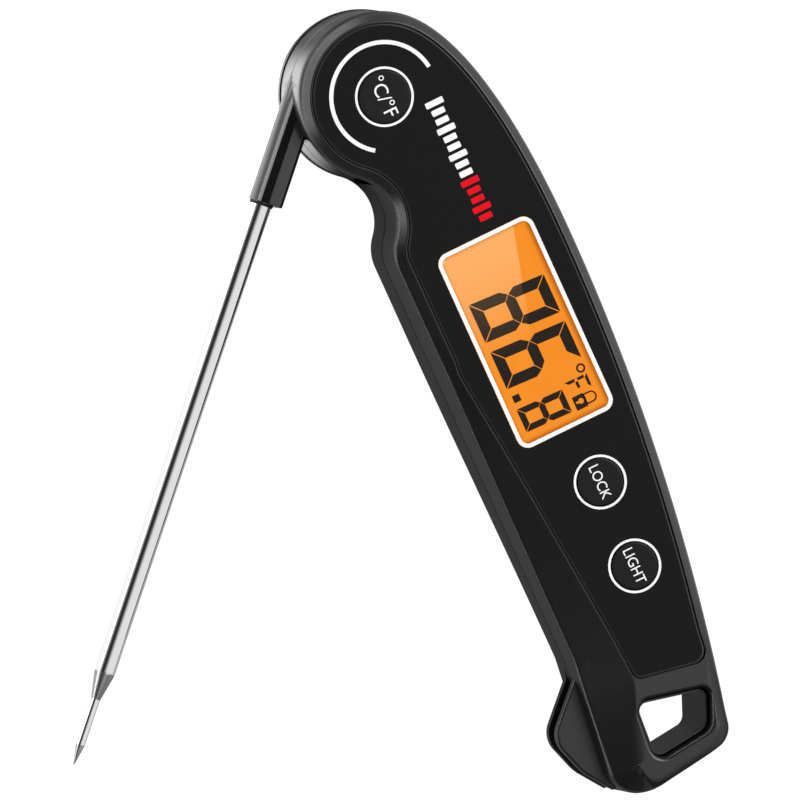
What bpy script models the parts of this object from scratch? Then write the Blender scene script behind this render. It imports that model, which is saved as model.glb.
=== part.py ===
"""Folding-probe meat thermometer, lying on its back.

Frame: +Z is the face normal (back plane z = 0, face z = 20 mm), +Y runs toward the round head,
and the probe's hinge axis is the line x = y = 0. Sizes below are in millimetres; the meshes are
made in metres.
"""
import bpy
import math
from mathutils import Matrix, Vector

MM = 0.001

# ---- overall body
BODY_T = 20.0             # thickness, back to face
SPLIT_Z = 10.0            # parting plane of the two shells
SPLIT_GAP = 0.07          # half of the visible parting line
HEAD_R = 15.2             # round head
RIGHT_X = 21.2            # widest point of the curved right side
RIGHT_Y = -37.0           # where that widest point is
RIGHT_LOWER_R = 391.0     # radius of the right side below the widest point
WALL_X = -10.65           # straight left side
DENT_X = -6.6             # deepest point of the dent under the head
DENT_Y = -18.3
SHOULDER_R = 8.0          # rounding between the dent and the straight side
FLARE_Y = -106.5          # where the left side starts to flare out
END_LEFT = (-13.9, -134.3)
END_RIGHT = (9.8, -131.4)
END_LEFT_R = 5.5
END_RIGHT_R = 4.0

# ---- face bezel, back rounding and walls
BEZEL_W = 1.7             # bezel width round the head and the right side
BEZEL_DROP = 2.0
BEZEL_END_W = 0.8         # narrower bezel round the lower end
BEZEL_END_DROP = 0.7
LAND_W = 0.25             # flat rim between the bezel and the panel recess
PANEL_GAP = 0.2
PANEL_T = 1.0
DECK_TOP = 18.8
DECK_BOTTOM = 17.3
WALL_T = 1.9
BACK_T = 2.0
BACK_ROUND = 2.0
BACK_ROUND_LOW = 4.4

# ---- hinge
HUB_R = 15.05             # drum that turns in the head
HUB_Z0 = 3.7
HUB_Z1 = 16.3
HUB_RECESS_R = 12.0       # shallow dish in each face of the drum
HUB_WEB_Z0 = 6.3
HUB_WEB_Z1 = 13.7
HUB_BAY_R = 15.9          # chamber in the shells that the drum turns in
HUB_BAY_Z0 = 3.4
HUB_BAY_Z1 = 16.6
HUB_WALL_R = 17.6         # wall between that chamber and the handle's bay
BOSS_R = 4.12             # fixed hollow pivot on the rear shell
BOSS_BORE_R = 2.2
HUB_BORE_R = 4.2
CHAMBER_R0 = 5.0          # ring-shaped space for the slack lead
CHAMBER_R1 = 8.4
REST_OPEN_DEG = 44.0      # probe angle at rest, away from folded
SWEEP_FROM = -6.0         # the arm's opening in the head's wall, angle about +Z
SWEEP_TO = 222.0

# ---- probe
PROBE_OFFSET = 12.75      # tube axis to hinge axis
ARM_HALF_T = 3.8          # half thickness, and half widths of the flat outline's corners below
ARM_OUTER = 2.4           # outer side, just proud of the drum
ARM_BACK_R = 4.243        # radius of the rounded outer side
ARM_CREASE = (-1.0, 3.15)      # where the rounded side meets the wide outer chamfer
ARM_FACET = (0.38, 2.485)      # the flat front facet, from its outer to its inner edge
ARM_INNER = (3.1, 3.15)        # inner side, and where its chamfer starts
ARM_END = 24.5
TUBE_R = 1.9
TUBE_BORE_R = 1.4
TUBE_START = 10.0
TIP_END = 130.0
NEEDLE_R = 0.82
CONE_LEN = 3.7
NEEDLE_LEN = 8.7
TAPER_LEN = 4.8

# ---- display and keys
WINDOW = (-3.9, 15.3, -68.2, -30.0)     # x0, x1, y0, y1 of the framed display window
WINDOW_R = 2.2
UNIT_KEY = (0.0, 0.0)
UNIT_KEY_R = 4.75
LOCK_KEY = (6.8, -79.2)
LIGHT_KEY = (6.2, -95.5)
SIDE_KEY_R = 4.25
KEY_GAP = 0.15
KEY_FLANGE = 0.75

# ---- inside
BOARD = (-3.2, 11.2, -103.5, -20.0)
BOARD_Z0 = 12.9
BOARD_Z1 = 13.7
CELL_X = 3.5
CELL_Z = 7.25
CELL_R = 5.2
CELL_Y0 = -99.3
CELL_Y1 = -55.5
DOOR = (-3.6, 10.6, -110.0, -52.0)
DOOR_SCREW = (3.5, -106.6)
SCREWS = ((14.0, -25.2), (-6.0, -74.5), (13.6, -87.3), (-6.3, -108.0))
MAGNET = (4.0, -36.0)
LOOP = ((-4.0, -117.7, 2.2), (-4.8, -129.2, 2.2), (6.9, -128.05, 2.8), (9.9, -121.0, 1.8))

STEEL = (0.74, 0.74, 0.75)
BLACK = (0.02, 0.02, 0.022)


# ------------------------------------------------------------------ outlines
def arc(cx, cy, r, a0, a1, n):
    """Points on a circle from angle a0 to a1 in degrees, both ends included."""
    out = []
    for i in range(n + 1):
        a = math.radians(a0 + (a1 - a0) * i / n)
        out.append((cx + r * math.cos(a), cy + r * math.sin(a)))
    return out


def bezier(p0, p1, p2, p3, n):
    """Cubic curve from p0 to p3, both ends included."""
    out = []
    for i in range(n + 1):
        t = i / n
        b = ((1 - t) ** 3, 3 * t * (1 - t) ** 2, 3 * t * t * (1 - t), t ** 3)
        out.append(tuple(sum(w * p[k] for w, p in zip(b, (p0, p1, p2, p3))) for k in (0, 1)))
    return out


def line(p0, p1, n):
    """n + 1 evenly spaced points from p0 to p1."""
    return [(p0[0] + (p1[0] - p0[0]) * i / n, p0[1] + (p1[1] - p0[1]) * i / n) for i in range(n + 1)]


def fillet(a, v, b, r, n):
    """Arc of radius r that rounds the corner v between the directions to a and b."""
    va = Vector((a[0] - v[0], a[1] - v[1])).normalized()
    vb = Vector((b[0] - v[0], b[1] - v[1])).normalized()
    half = va.angle(vb) / 2
    centre = Vector(v) + (va + vb).normalized() * (r / math.sin(half))
    start = Vector(v) + va * (r / math.tan(half)) - centre
    end = Vector(v) + vb * (r / math.tan(half)) - centre
    sweep = start.angle_signed(end)
    out = []
    for i in range(n + 1):
        p = Matrix.Rotation(-sweep * i / n, 2) @ start
        out.append((centre.x + p.x, centre.y + p.y))
    return out


def rounded_polygon(corners, n=6):
    """Closed outline through corners given as (x, y, radius)."""
    out = []
    for i, c in enumerate(corners):
        a = corners[i - 1]
        b = corners[(i + 1) % len(corners)]
        out += fillet(a[:2], c[:2], b[:2], c[2], n)
    return out


def rounded_box(x0, x1, y0, y1, r, n=5):
    """Counter-clockwise rectangle with rounded corners."""
    return rounded_polygon(((x0, y0, r), (x1, y0, r), (x1, y1, r), (x0, y1, r)), n)


def circle(cx, cy, r, n=48):
    """Closed circle, counter-clockwise."""
    return arc(cx, cy, r, 0, 360, n)[:-1]


def joined(*pieces):
    """Chain of point lists without repeated neighbours, closed."""
    out = []
    for p in [q for piece in pieces for q in piece]:
        if not out or math.dist(out[-1], p) > 0.02:
            out.append(p)
    if math.dist(out[0], out[-1]) <= 0.02:
        out.pop()
    return out


def inward(outline):
    """Unit normals that point into a counter-clockwise outline."""
    out = []
    for i in range(len(outline)):
        a = Vector(outline[i - 1])
        b = Vector(outline[i])
        c = Vector(outline[(i + 1) % len(outline)])
        t = (b - a).normalized() + (c - b).normalized()
        t.normalize()
        out.append((-t.y, t.x))
    return out


def inset(outline, d):
    """Outline moved inward by d, or outward when d is negative."""
    return [(p[0] + n[0] * d, p[1] + n[1] * d) for p, n in zip(outline, inward(outline))]


def dent_circles(extra):
    """Centres and radii of the dent and the shoulder, with the wall moved inward by extra."""
    r = ((DENT_X ** 2 + DENT_Y ** 2) - HEAD_R ** 2) / (2 * (HEAD_R + DENT_X))
    c = (DENT_X - r, DENT_Y)
    sx = WALL_X + SHOULDER_R
    sy = DENT_Y - math.sqrt((r + SHOULDER_R) ** 2 - (sx - c[0]) ** 2)
    return c, r + extra, (sx, sy), SHOULDER_R - extra


def right_side(top_n, low_n):
    """Right side from the lower end up to the head, as one smooth line."""
    start_y = END_RIGHT[1]
    low = []
    for i in range(low_n):
        y = start_y + (RIGHT_Y - start_y) * i / low_n
        dx = RIGHT_LOWER_R - math.sqrt(RIGHT_LOWER_R ** 2 - (y - RIGHT_Y) ** 2)
        low.append((RIGHT_X - dx, y))
    a = math.radians(50)
    end = (HEAD_R * math.cos(a), HEAD_R * math.sin(a))
    ctrl = (end[0] + 11.0 * math.sin(a), end[1] - 11.0 * math.cos(a))
    return low + bezier((RIGHT_X, RIGHT_Y), (RIGHT_X, RIGHT_Y + 22.0), ctrl, end, top_n)


def body_outline():
    """Counter-clockwise outline of the whole body, seen from the face."""
    dent, dent_r, shoulder, shoulder_r = dent_circles(0.0)
    meet = math.degrees(math.atan2(dent[1], dent[0])) % 360
    turn = math.degrees(math.atan2(shoulder[1] - dent[1], shoulder[0] - dent[0]))
    head = arc(0, 0, HEAD_R, 50, meet, 28)
    hollow = arc(dent[0], dent[1], dent_r, meet - 180, turn, 8)
    bulge = arc(shoulder[0], shoulder[1], shoulder_r, turn + 180, 180, 4)
    side = line((WALL_X, shoulder[1]), (WALL_X, FLARE_Y), 9)
    right = right_side(10, 12)
    left_corner = fillet((WALL_X, FLARE_Y), END_LEFT, END_RIGHT, END_LEFT_R, 6)
    flare = line((WALL_X, FLARE_Y), left_corner[0], 4)
    right_corner = fillet(END_LEFT, END_RIGHT, right[1], END_RIGHT_R, 5)
    bottom = line(left_corner[-1], right_corner[0], 3)
    upper = [p for p in right if p[1] > right_corner[-1][1] + 1.0]
    return joined(head, hollow, bulge, side, flare, left_corner, bottom, right_corner, upper)


def smoothstep(t):
    """Smooth 0 to 1 ramp."""
    t = min(max(t, 0.0), 1.0)
    return t * t * (3 - 2 * t)


def left_share(p):
    """1 on the straight left side and its flare, 0 elsewhere."""
    if p[0] > 0:
        return 0.0
    share = smoothstep((-20.0 - p[1]) / 10.0)
    return share * smoothstep((-6.0 - p[0]) / 3.5) if p[1] < -125.0 else share


def end_share(p):
    """1 round the lower end, 0 above it."""
    return smoothstep((-122.0 - p[1]) / 8.0)


def bezel_width(p):
    """Width of the sloping bezel at the outline point p."""
    slope = max(0.0, (-50.0 - p[1]) * 0.0965)
    easing = 2.2 + slope - 0.35 * math.exp(-((p[1] + 50.0) / 14.0) ** 2) * (p[1] < -50)
    past = max(0.0, (-113.0 - p[1]))
    easing -= past * 0.47
    flare = max(0.0, (FLARE_Y - p[1])) * 0.115
    w = easing + flare
    base = BEZEL_W + (BEZEL_END_W - BEZEL_W) * end_share(p)
    return base + (w - base) * left_share(p)


def bezel_drop(p):
    """How far the bezel's outer edge lies below the face."""
    d = 1.0 + 2.3 * smoothstep((-35.0 - p[1]) / 70.0)
    base = BEZEL_DROP + (BEZEL_END_DROP - BEZEL_DROP) * end_share(p)
    return base + (d - base) * left_share(p)


def back_round(p):
    """Radius that rounds the back edge at the outline point p."""
    grow = smoothstep((-45.0 - p[1]) / 60.0) * left_share(p) * (1 - smoothstep((-129.0 - p[1]) / 4.5))
    return BACK_ROUND + (BACK_ROUND_LOW - BACK_ROUND) * grow


def crest_outline():
    """Outline of the flat face, inside the bezel."""
    body = body_outline()
    return [(p[0] + n[0] * bezel_width(p), p[1] + n[1] * bezel_width(p))
            for p, n in zip(body, inward(body))]


def panel_outline(gap):
    """Outline of the face panel, grown by gap for the recess it sits in."""
    rim = inset(crest_outline(), LAND_W + PANEL_GAP - gap)
    n = len(rim)
    top = [i for i, p in enumerate(rim) if p[1] > -111.2]
    first = [i for i in top if (i - 1) % n not in top][0]
    run = []
    i = first
    while i % n in top:
        run.append(rim[i % n])
        i += 1
    left = run[-1]
    right = run[0]
    corner_l = (left[0] + 0.25, -113.95 - gap)
    corner_r = (right[0] - 0.85, -116.55 - gap)
    low_l = fillet(left, corner_l, corner_r, 1.6, 6)
    low_r = fillet(corner_l, corner_r, right, 2.4, 6)
    return joined(run, low_l, low_r)


def bay_outline():
    """Inside of the handle, below the hinge chamber's wall."""
    dent, dent_r, shoulder, shoulder_r = dent_circles(WALL_T)
    turn = math.degrees(math.atan2(shoulder[1] - dent[1], shoulder[0] - dent[0]))
    right = [(p[0] - WALL_T, p[1]) for p in right_side(10, 12) if -111.0 < p[1] < -6.5]
    top_a = math.degrees(math.atan2(right[-1][1], right[-1][0]))
    left_a = math.degrees(math.asin(-17.05 / HUB_WALL_R))
    top = arc(0, 0, HUB_WALL_R, top_a, -180 - left_a, 12)
    hollow = arc(dent[0], dent[1], dent_r, 3, turn, 6)
    bulge = arc(shoulder[0], shoulder[1], shoulder_r, turn + 180, 180, 5)
    side = line((WALL_X + WALL_T, shoulder[1]), (WALL_X + WALL_T, -109.5), 4)
    floor = line((WALL_X + WALL_T + 1.0, -112.6), (right[0][0] - 1.5, -115.2), 4)
    return joined(top, hollow, bulge, side, floor, right)


# ------------------------------------------------------------------ solids
def new_object(name, verts, faces):
    """Mesh object from millimetre vertices."""
    mesh = bpy.data.meshes.new(name)
    mesh.from_pydata([(x * MM, y * MM, z * MM) for x, y, z in verts], [], faces)
    mesh.validate()
    obj = bpy.data.objects.new(name, mesh)
    bpy.context.scene.collection.objects.link(obj)
    return obj


def loft(name, rings):
    """Closed solid through rings of (x, y, z) points, listed bottom to top, counter-clockwise."""
    n = len(rings[0])
    verts = [p for ring in rings for p in ring]
    faces = [tuple(range(n - 1, -1, -1))]
    for k in range(len(rings) - 1):
        for i in range(n):
            j = (i + 1) % n
            faces.append((k * n + i, k * n + j, (k + 1) * n + j, (k + 1) * n + i))
    top = (len(rings) - 1) * n
    faces.append(tuple(range(top, top + n)))
    return new_object(name, verts, faces)


def prism(name, outline, z0, z1):
    """Straight-sided solid between two heights."""
    return loft(name, [[(x, y, z) for x, y in outline] for z in (z0, z1)])


def box(name, x0, x1, y0, y1, z0, z1):
    """Plain block."""
    return prism(name, [(x0, y0), (x1, y0), (x1, y1), (x0, y1)], z0, z1)


def band(name, outer, inner, z0, z1):
    """Ring between two outlines of equal point count."""
    n = len(outer)
    rings = [[(x, y, z0) for x, y in outer], [(x, y, z1) for x, y in outer],
             [(x, y, z1) for x, y in inner], [(x, y, z0) for x, y in inner]]
    verts = [p for ring in rings for p in ring]
    faces = []
    for k in range(4):
        m = (k + 1) % 4
        for i in range(n):
            j = (i + 1) % n
            faces.append((k * n + i, k * n + j, m * n + j, m * n + i))
    return new_object(name, verts, faces)


def turned(name, profile, cx=0.0, cy=0.0, steps=48):
    """Solid of revolution about +Z. The profile of (radius, z) runs down the outside, top to bottom."""
    verts = []
    rows = []
    for r, z in profile:
        if r < 1e-6:
            rows.append([len(verts)] * steps)
            verts.append((cx, cy, z))
        else:
            rows.append(list(range(len(verts), len(verts) + steps)))
            for x, y in arc(cx, cy, r, 0, 360, steps)[:-1]:
                verts.append((x, y, z))
    closed = profile[0][0] > 1e-6
    faces = []
    for k in range(len(rows) - (0 if closed else 1)):
        a = rows[k]
        b = rows[(k + 1) % len(rows)]
        for i in range(steps):
            j = (i + 1) % steps
            quad = (a[i], b[i], b[j], a[j])
            face = tuple(v for q, v in enumerate(quad) if v != quad[q - 1])
            if len(face) > 2:
                faces.append(face)
    return new_object(name, verts, faces)


def disc(name, cx, cy, r, z0, z1, steps=48):
    """Upright cylinder."""
    return prism(name, circle(cx, cy, r, steps), z0, z1)


def swept(name, path, radius, sides=10):
    """Round wire along a list of points, with flat ends."""
    pts = [Vector(p) for p in path]
    rings = []
    prev = None
    for i, p in enumerate(pts):
        t = (pts[min(i + 1, len(pts) - 1)] - pts[max(i - 1, 0)]).normalized()
        if prev is None:
            ref = Vector((0, 0, 1)) if abs(t.z) < 0.9 else Vector((1, 0, 0))
            side = t.cross(ref).normalized()
        else:
            side = (prev - t * prev.dot(t)).normalized()
        up = t.cross(side)
        prev = side
        ring = []
        for k in range(sides):
            a = 2 * math.pi * k / sides
            q = p + side * (radius * math.cos(a)) + up * (radius * math.sin(a))
            ring.append(tuple(q))
        rings.append(ring)
    return loft(name, rings)


def turned_along(name, profile, origin, axis, steps=32):
    """Solid of revolution about a line; the profile of (radius, distance) starts at the far end."""
    obj = turned(name, profile, 0.0, 0.0, steps)
    rot = Vector((0, 0, 1)).rotation_difference(Vector(axis)).to_matrix().to_4x4()
    obj.data.transform(Matrix.Translation(Vector(origin) * MM) @ rot)
    return obj


def combine(obj, other, operation):
    """Live Boolean; the second object is a construction solid and is not part of the build."""
    mod = obj.modifiers.new(operation.lower() + "_" + other.name, "BOOLEAN")
    mod.operation = operation
    mod.solver = "EXACT"
    mod.object = other
    other.hide_render = True
    other.display_type = "WIRE"
    return obj


def cut(obj, other):
    """Takes the second solid away."""
    return combine(obj, other, "DIFFERENCE")


def add(obj, other):
    """Adds the second solid."""
    return combine(obj, other, "UNION")


def finish(obj, colour, roughness, metallic=0.0, smooth=30.0):
    """Own material and shading."""
    mat = bpy.data.materials.new(obj.name)
    mat.use_nodes = True
    shader = mat.node_tree.nodes["Principled BSDF"]
    shader.inputs["Base Color"].default_value = (*colour, 1.0)
    shader.inputs["Roughness"].default_value = roughness
    shader.inputs["Metallic"].default_value = metallic
    obj.data.materials.append(mat)
    if smooth:
        obj.data.shade_smooth()
        obj.data.set_sharp_from_angle(angle=math.radians(smooth))
    return obj


def centre_origin(obj, x, y, z):
    """Moves the object's origin to a point and leaves its shape where it is."""
    offset = Vector((x, y, z)) * MM
    obj.data.transform(Matrix.Translation(-offset))
    obj.location = offset


# ------------------------------------------------------------------ shells
def sweep_cut(name, z0, z1):
    """Room in the head's wall for the arm, from folded to fully open."""
    outer = arc(0, 0, 26.0, SWEEP_FROM, SWEEP_TO, 12)
    inner = arc(0, 0, 14.0, SWEEP_TO, SWEEP_FROM, 12)
    return prism(name, outer + inner, z0, z1)


def guard_outline(back):
    """Side lobe that shields the folded probe's point."""
    tip, low, end = (-19.3, -118.1), (-16.8, -125.6), (-13.0, -131.6)
    root = fillet((-9.6, -100.0), (-10.3, -109.1), tip, 5.0, 5)
    crown = fillet(root[-1], tip, low, 4.5, 8)
    belly = fillet(crown[-1], low, end, 9.0, 3)
    return joined([(back, -104.0)], root, crown, belly, [(-13.0, -131.0), (back, -131.0)])


def make_rear_shell():
    body = body_outline()
    normals = inward(body)
    rings = []
    for k in range(3, -1, -1):
        a = math.radians(90.0 * k / 3)
        ring = []
        for p, n in zip(body, normals):
            r = back_round(p)
            w = r * (1 - math.cos(a))
            ring.append((p[0] + n[0] * w, p[1] + n[1] * w, r * (1 - math.sin(a))))
        rings.append(ring)
    rings.append([(p[0], p[1], SPLIT_Z - SPLIT_GAP) for p in body])
    shell = loft("rear_shell", rings)
    bay = bay_outline()
    cut(shell, prism("rear_bay_cut", bay, BACK_T, 12.0))
    cut(shell, disc("rear_hub_cut", 0, 0, HUB_BAY_R, HUB_BAY_Z0, 12.0, 48))
    cut(shell, sweep_cut("rear_sweep_cut", HUB_BAY_Z0, 12.0))
    pad = turned("rear_pad", [(11.6, 6.0), (11.6, 3.0), (7.9, 3.0), (7.9, 6.0)], steps=48)
    add(shell, pad)
    boss = turned("rear_boss", [(BOSS_R, 13.85), (BOSS_R, 3.0), (BOSS_BORE_R, 3.0),
                                (BOSS_BORE_R, 13.85)], steps=40)
    add(shell, boss)
    cut(shell, box("boss_window_cut", 1.0, 5.0, -0.9, 0.9, 9.0, 11.0))
    add(shell, prism("rear_guard", guard_outline(-9.6), 6.0, 7.8))
    cut(shell, box("rear_guard_cut", -30.0, -10.85, -140.0, -107.0, 7.8, 12.2))
    add(shell, prism("rear_collar", rounded_polygon(LOOP), 1.0, 9.0))
    lip = inset(rounded_polygon(LOOP), 0.15)
    add(shell, prism("rear_lip", lip, 5.0, 17.3))
    cut(shell, prism("rear_loop_cut", inset(rounded_polygon(LOOP), 0.65), -1.0, 22.0))
    seat = (DOOR[0] - 0.2, DOOR[1] + 0.2, DOOR[2] - 0.2, DOOR[3] + 0.2)
    rim = rounded_box(seat[0] - 1.2, seat[1] + 1.2, seat[2] - 1.2, seat[3] + 1.2, 2.4)
    add(shell, prism("door_rim", rim, 1.0, 3.2))
    for y0, y1, tag in ((-54.0, -52.6, "upper"), (-104.5, -103.2, "lower")):
        add(shell, box("cell_wall_" + tag, -3.4, 10.4, y0, y1, 1.5, 9.6))
    add(shell, disc("door_boss", DOOR_SCREW[0], DOOR_SCREW[1], 3.3, 1.5, 9.0, 32))
    add(shell, turned("magnet_ring", [(6.4, 4.4), (6.4, 1.5), (5.2, 1.5), (5.2, 4.4)],
                      MAGNET[0], MAGNET[1], 24))
    for i, (x, y) in enumerate(SCREWS):
        add(shell, disc("rear_post_%d" % i, x, y, 2.45, 1.2, SPLIT_Z - SPLIT_GAP, 16))
        cut(shell, disc("rear_screw_cut_%d" % i, x, y, 1.15, -1.0, 12.0, 16))
        cut(shell, disc("rear_head_cut_%d" % i, x, y, 1.95, -1.0, 4.0, 20))
    cut(shell, prism("door_seat_cut", rounded_box(*seat, 1.6), -1.0, 1.8))
    cut(shell, box("door_opening_cut", -2.7, 9.7, -103.2, -54.0, -1.0, 5.0))
    cut(shell, disc("door_insert_cut", DOOR_SCREW[0], DOOR_SCREW[1], 2.1, 1.0, 8.2, 28))
    cut(shell, prism("label_cut", rounded_box(-3.2, 11.2, -46.2, -25.8, 2.0), -1.0, 0.45))
    cut(shell, band("rear_seal_cut", inset(bay, -1.25), inset(bay, -0.2), 9.4, 10.4))
    return finish(shell, BLACK, 0.45)


def make_front_shell():
    body = body_outline()
    crest = crest_outline()
    low = [(p[0], p[1], SPLIT_Z + SPLIT_GAP) for p in body]
    edge = [(p[0], p[1], BODY_T - bezel_drop(p)) for p in body]
    mid = []
    for p, c in zip(body, crest):
        d = bezel_drop(p)
        mid.append((p[0] * 0.86 + c[0] * 0.14, p[1] * 0.86 + c[1] * 0.14, BODY_T - d * 0.74))
    top = [(c[0], c[1], BODY_T) for c in crest]
    shell = loft("front_shell", [low, edge, mid, top])
    bay = bay_outline()
    cut(shell, prism("front_bay_cut", bay, 8.0, DECK_BOTTOM))
    cut(shell, disc("front_hub_cut", 0, 0, HUB_BAY_R, 8.0, HUB_BAY_Z1, 48))
    cut(shell, disc("front_cup_cut", 0, 0, 11.8, 12.0, DECK_BOTTOM, 48))
    cut(shell, box("front_flex_cut", -2.3, 2.3, -20.0, -10.0, 15.0, DECK_BOTTOM - 0.05))
    cut(shell, sweep_cut("front_sweep_cut", 8.0, HUB_BAY_Z1))
    cut(shell, prism("panel_recess_cut", panel_outline(PANEL_GAP), DECK_TOP, 22.0))
    glass = (WINDOW[0] - 0.5, WINDOW[1] + 0.5, WINDOW[2] - 0.6, WINDOW[3] + 0.6)
    cut(shell, prism("display_cut", rounded_box(*glass, 1.5), 16.0, 20.0))
    for name, (x, y), r in key_list():
        cut(shell, disc(name + "_deck_cut", x, y, r + KEY_FLANGE + 0.3, 16.0, 20.0, 32))
    add(shell, prism("front_guard", guard_outline(-9.6), 12.2, 14.0))
    cut(shell, box("front_guard_cut", -30.0, -10.85, -140.0, -107.0, 7.8, 12.2))
    for i, (x, y) in enumerate(SCREWS):
        add(shell, disc("front_post_%d" % i, x, y, 2.35, SPLIT_Z + SPLIT_GAP, 18.0, 16))
        cut(shell, disc("front_pilot_cut_%d" % i, x, y, 0.95, 8.0, 16.2, 12))
    cut(shell, prism("front_loop_cut", rounded_polygon(LOOP), 8.0, 22.0))
    cut(shell, band("front_seal_cut", inset(bay, -1.25), inset(bay, -0.2), 9.6, 10.6))
    return finish(shell, BLACK, 0.45)


def make_case_seal():
    bay = bay_outline()
    seal = band("case_seal", inset(bay, -1.15), inset(bay, -0.3), 9.5, 10.5)
    return finish(seal, (0.09, 0.09, 0.1), 0.7)


# ------------------------------------------------------------------ face
def key_list():
    """Name, centre and radius of each key."""
    return (("unit_key", UNIT_KEY, UNIT_KEY_R), ("lock_key", LOCK_KEY, SIDE_KEY_R),
            ("light_key", LIGHT_KEY, SIDE_KEY_R))


def make_face_panel():
    panel = prism("face_panel", panel_outline(0.0), BODY_T - PANEL_T, BODY_T)
    cut(panel, prism("window_cut", rounded_box(*WINDOW, WINDOW_R), 18.0, 22.0))
    for name, (x, y), r in key_list():
        cut(panel, disc(name + "_panel_cut", x, y, r + KEY_GAP, 18.0, 22.0, 48))
    return finish(panel, (0.012, 0.012, 0.014), 0.12)


def make_display_window():
    x0, x1, y0, y1 = WINDOW
    pane = rounded_box(x0 + 0.12, x1 - 0.12, y0 + 0.12, y1 - 0.12, WINDOW_R - 0.12)
    return finish(prism("display_window", pane, BODY_T - PANEL_T, BODY_T), (0.8, 0.85, 0.88), 0.05)


def make_keys():
    for name, (x, y), r in key_list():
        foot = 17.35 if name == "unit_key" else 15.15
        low = 17.6 if name == "unit_key" else 17.4
        key = turned(name, [(0, 19.94), (r - 0.9, 19.96), (r - 0.25, 20.0), (r, 19.85), (r, 18.7),
                            (r + KEY_FLANGE, 18.7), (r + KEY_FLANGE, low), (1.6, low),
                            (1.6, foot), (0, foot)], x, y, 36)
        centre_origin(key, x, y, BODY_T)
        finish(key, (0.03, 0.03, 0.033), 0.3)


def make_key_seals():
    for name, (x, y), r in key_list():
        top = 17.05 if name == "unit_key" else 16.6
        rim = r + KEY_FLANGE + 0.45
        seal = turned(name + "_seal", [(rim + 0.75, 17.2), (rim + 0.75, top - 0.4), (2.2, top - 0.4),
                                       (2.2, top - 0.1), (rim, top - 0.1), (rim, 17.2)], x, y, 28)
        finish(seal, (0.2, 0.2, 0.21), 0.8)


def make_switches():
    spots = (("unit_switch", UNIT_KEY, 16.03, 16.8), ("lock_switch", LOCK_KEY, 13.73, 14.55),
             ("light_switch", LIGHT_KEY, 13.73, 14.55))
    for name, (x, y), z0, z1 in spots:
        dome = turned(name, [(0, z1), (0.9, z1 - 0.05), (1.6, z1 - 0.2), (2.0, z1 - 0.38),
                             (2.9, z1 - 0.38), (2.9, z0), (0, z0)], x, y, 20)
        finish(dome, STEEL, 0.3, 1.0)


# ------------------------------------------------------------------ display
def make_display():
    x0, x1, y0, y1 = WINDOW
    glass = prism("lcd_glass", rounded_box(x0 - 0.25, x1 + 0.25, y0 - 0.35, y1 + 0.35, 1.6), 17.45,
                  18.6)
    finish(glass, (0.9, 0.45, 0.08), 0.15)
    guide = box("backlight_plate", x0 + 0.3, x1 - 0.3, y0 + 2.4, y1 - 2.0, 15.3, 17.2)
    finish(guide, (1.0, 0.5, 0.1), 0.35)
    holder = prism("lcd_holder", rounded_box(x0 - 1.2, x1 + 1.2, y0 - 1.4, y1 + 1.4, 1.0), 14.2, 17.15)
    cut(holder, box("holder_bay_cut", x0 - 0.1, x1 + 0.1, y0 - 0.2, y1 + 0.2, 15.1, 18.0))
    cut(holder, box("holder_strip_cut", -2.2, 10.7, y0 + 0.1, y0 + 2.0, 13.0, 16.0))
    finish(holder, (0.85, 0.85, 0.83), 0.5)
    strip = box("contact_strip", -2.0, 10.5, y0 + 0.3, y0 + 1.8, 13.8, 17.35)
    finish(strip, (0.35, 0.1, 0.1), 0.7)
    for tag, x in (("left", 1.0), ("right", 10.4)):
        led = box("backlight_led_" + tag, x - 1.2, x + 1.2, y1 - 1.6, y1 - 0.4, 15.2, 16.5)
        finish(led, (0.95, 0.85, 0.6), 0.3)


# ------------------------------------------------------------------ electronics
def make_boards():
    main = prism("main_board", rounded_box(*BOARD, 0.8), BOARD_Z0, BOARD_Z1)
    finish(main, (0.03, 0.2, 0.09), 0.4)
    finish(disc("key_board", 0, 0, 10.0, 15.4, 16.0, 48), (0.03, 0.2, 0.09), 0.4)
    chip = box("processor_chip", 0.2, 6.2, -75.6, -70.6, 13.75, 14.7)
    finish(chip, (0.03, 0.03, 0.03), 0.4)
    sensor = box("motion_sensor", 2.4, 5.4, -44.0, -41.0, 11.8, 12.87)
    finish(sensor, (0.05, 0.05, 0.05), 0.35)
    buzzer = disc("crystal_can", 7.5, -26.5, 1.5, 13.75, 16.0, 24)
    finish(buzzer, STEEL, 0.3, 1.0)


def make_key_flex():
    path = ((-8.0, 16.22), (-9.3, 16.35), (-10.0, 16.78), (-18.8, 16.78), (-19.9, 16.3),
            (-20.5, 14.6), (-20.9, 14.0), (-23.0, 13.88))
    upper = []
    lower = []
    for i, p in enumerate(path):
        a = Vector(path[max(i - 1, 0)])
        b = Vector(path[min(i + 1, len(path) - 1)])
        t = (b - a).normalized()
        upper.append((p[0] - t.y * -0.09, p[1] + t.x * -0.09))
        lower.append((p[0] + t.y * -0.09, p[1] - t.x * -0.09))
    loop = upper + lower[::-1]
    area = sum(p[0] * loop[(i + 1) % len(loop)][1] - loop[(i + 1) % len(loop)][0] * p[1]
               for i, p in enumerate(loop))
    if area < 0:
        loop.reverse()
    ring_a = [(1.7, y, z) for y, z in loop]
    ring_b = [(-1.7, y, z) for y, z in loop]
    flex = loft("key_flex", [ring_b, ring_a])
    finish(flex, (0.75, 0.4, 0.08), 0.4)


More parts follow.
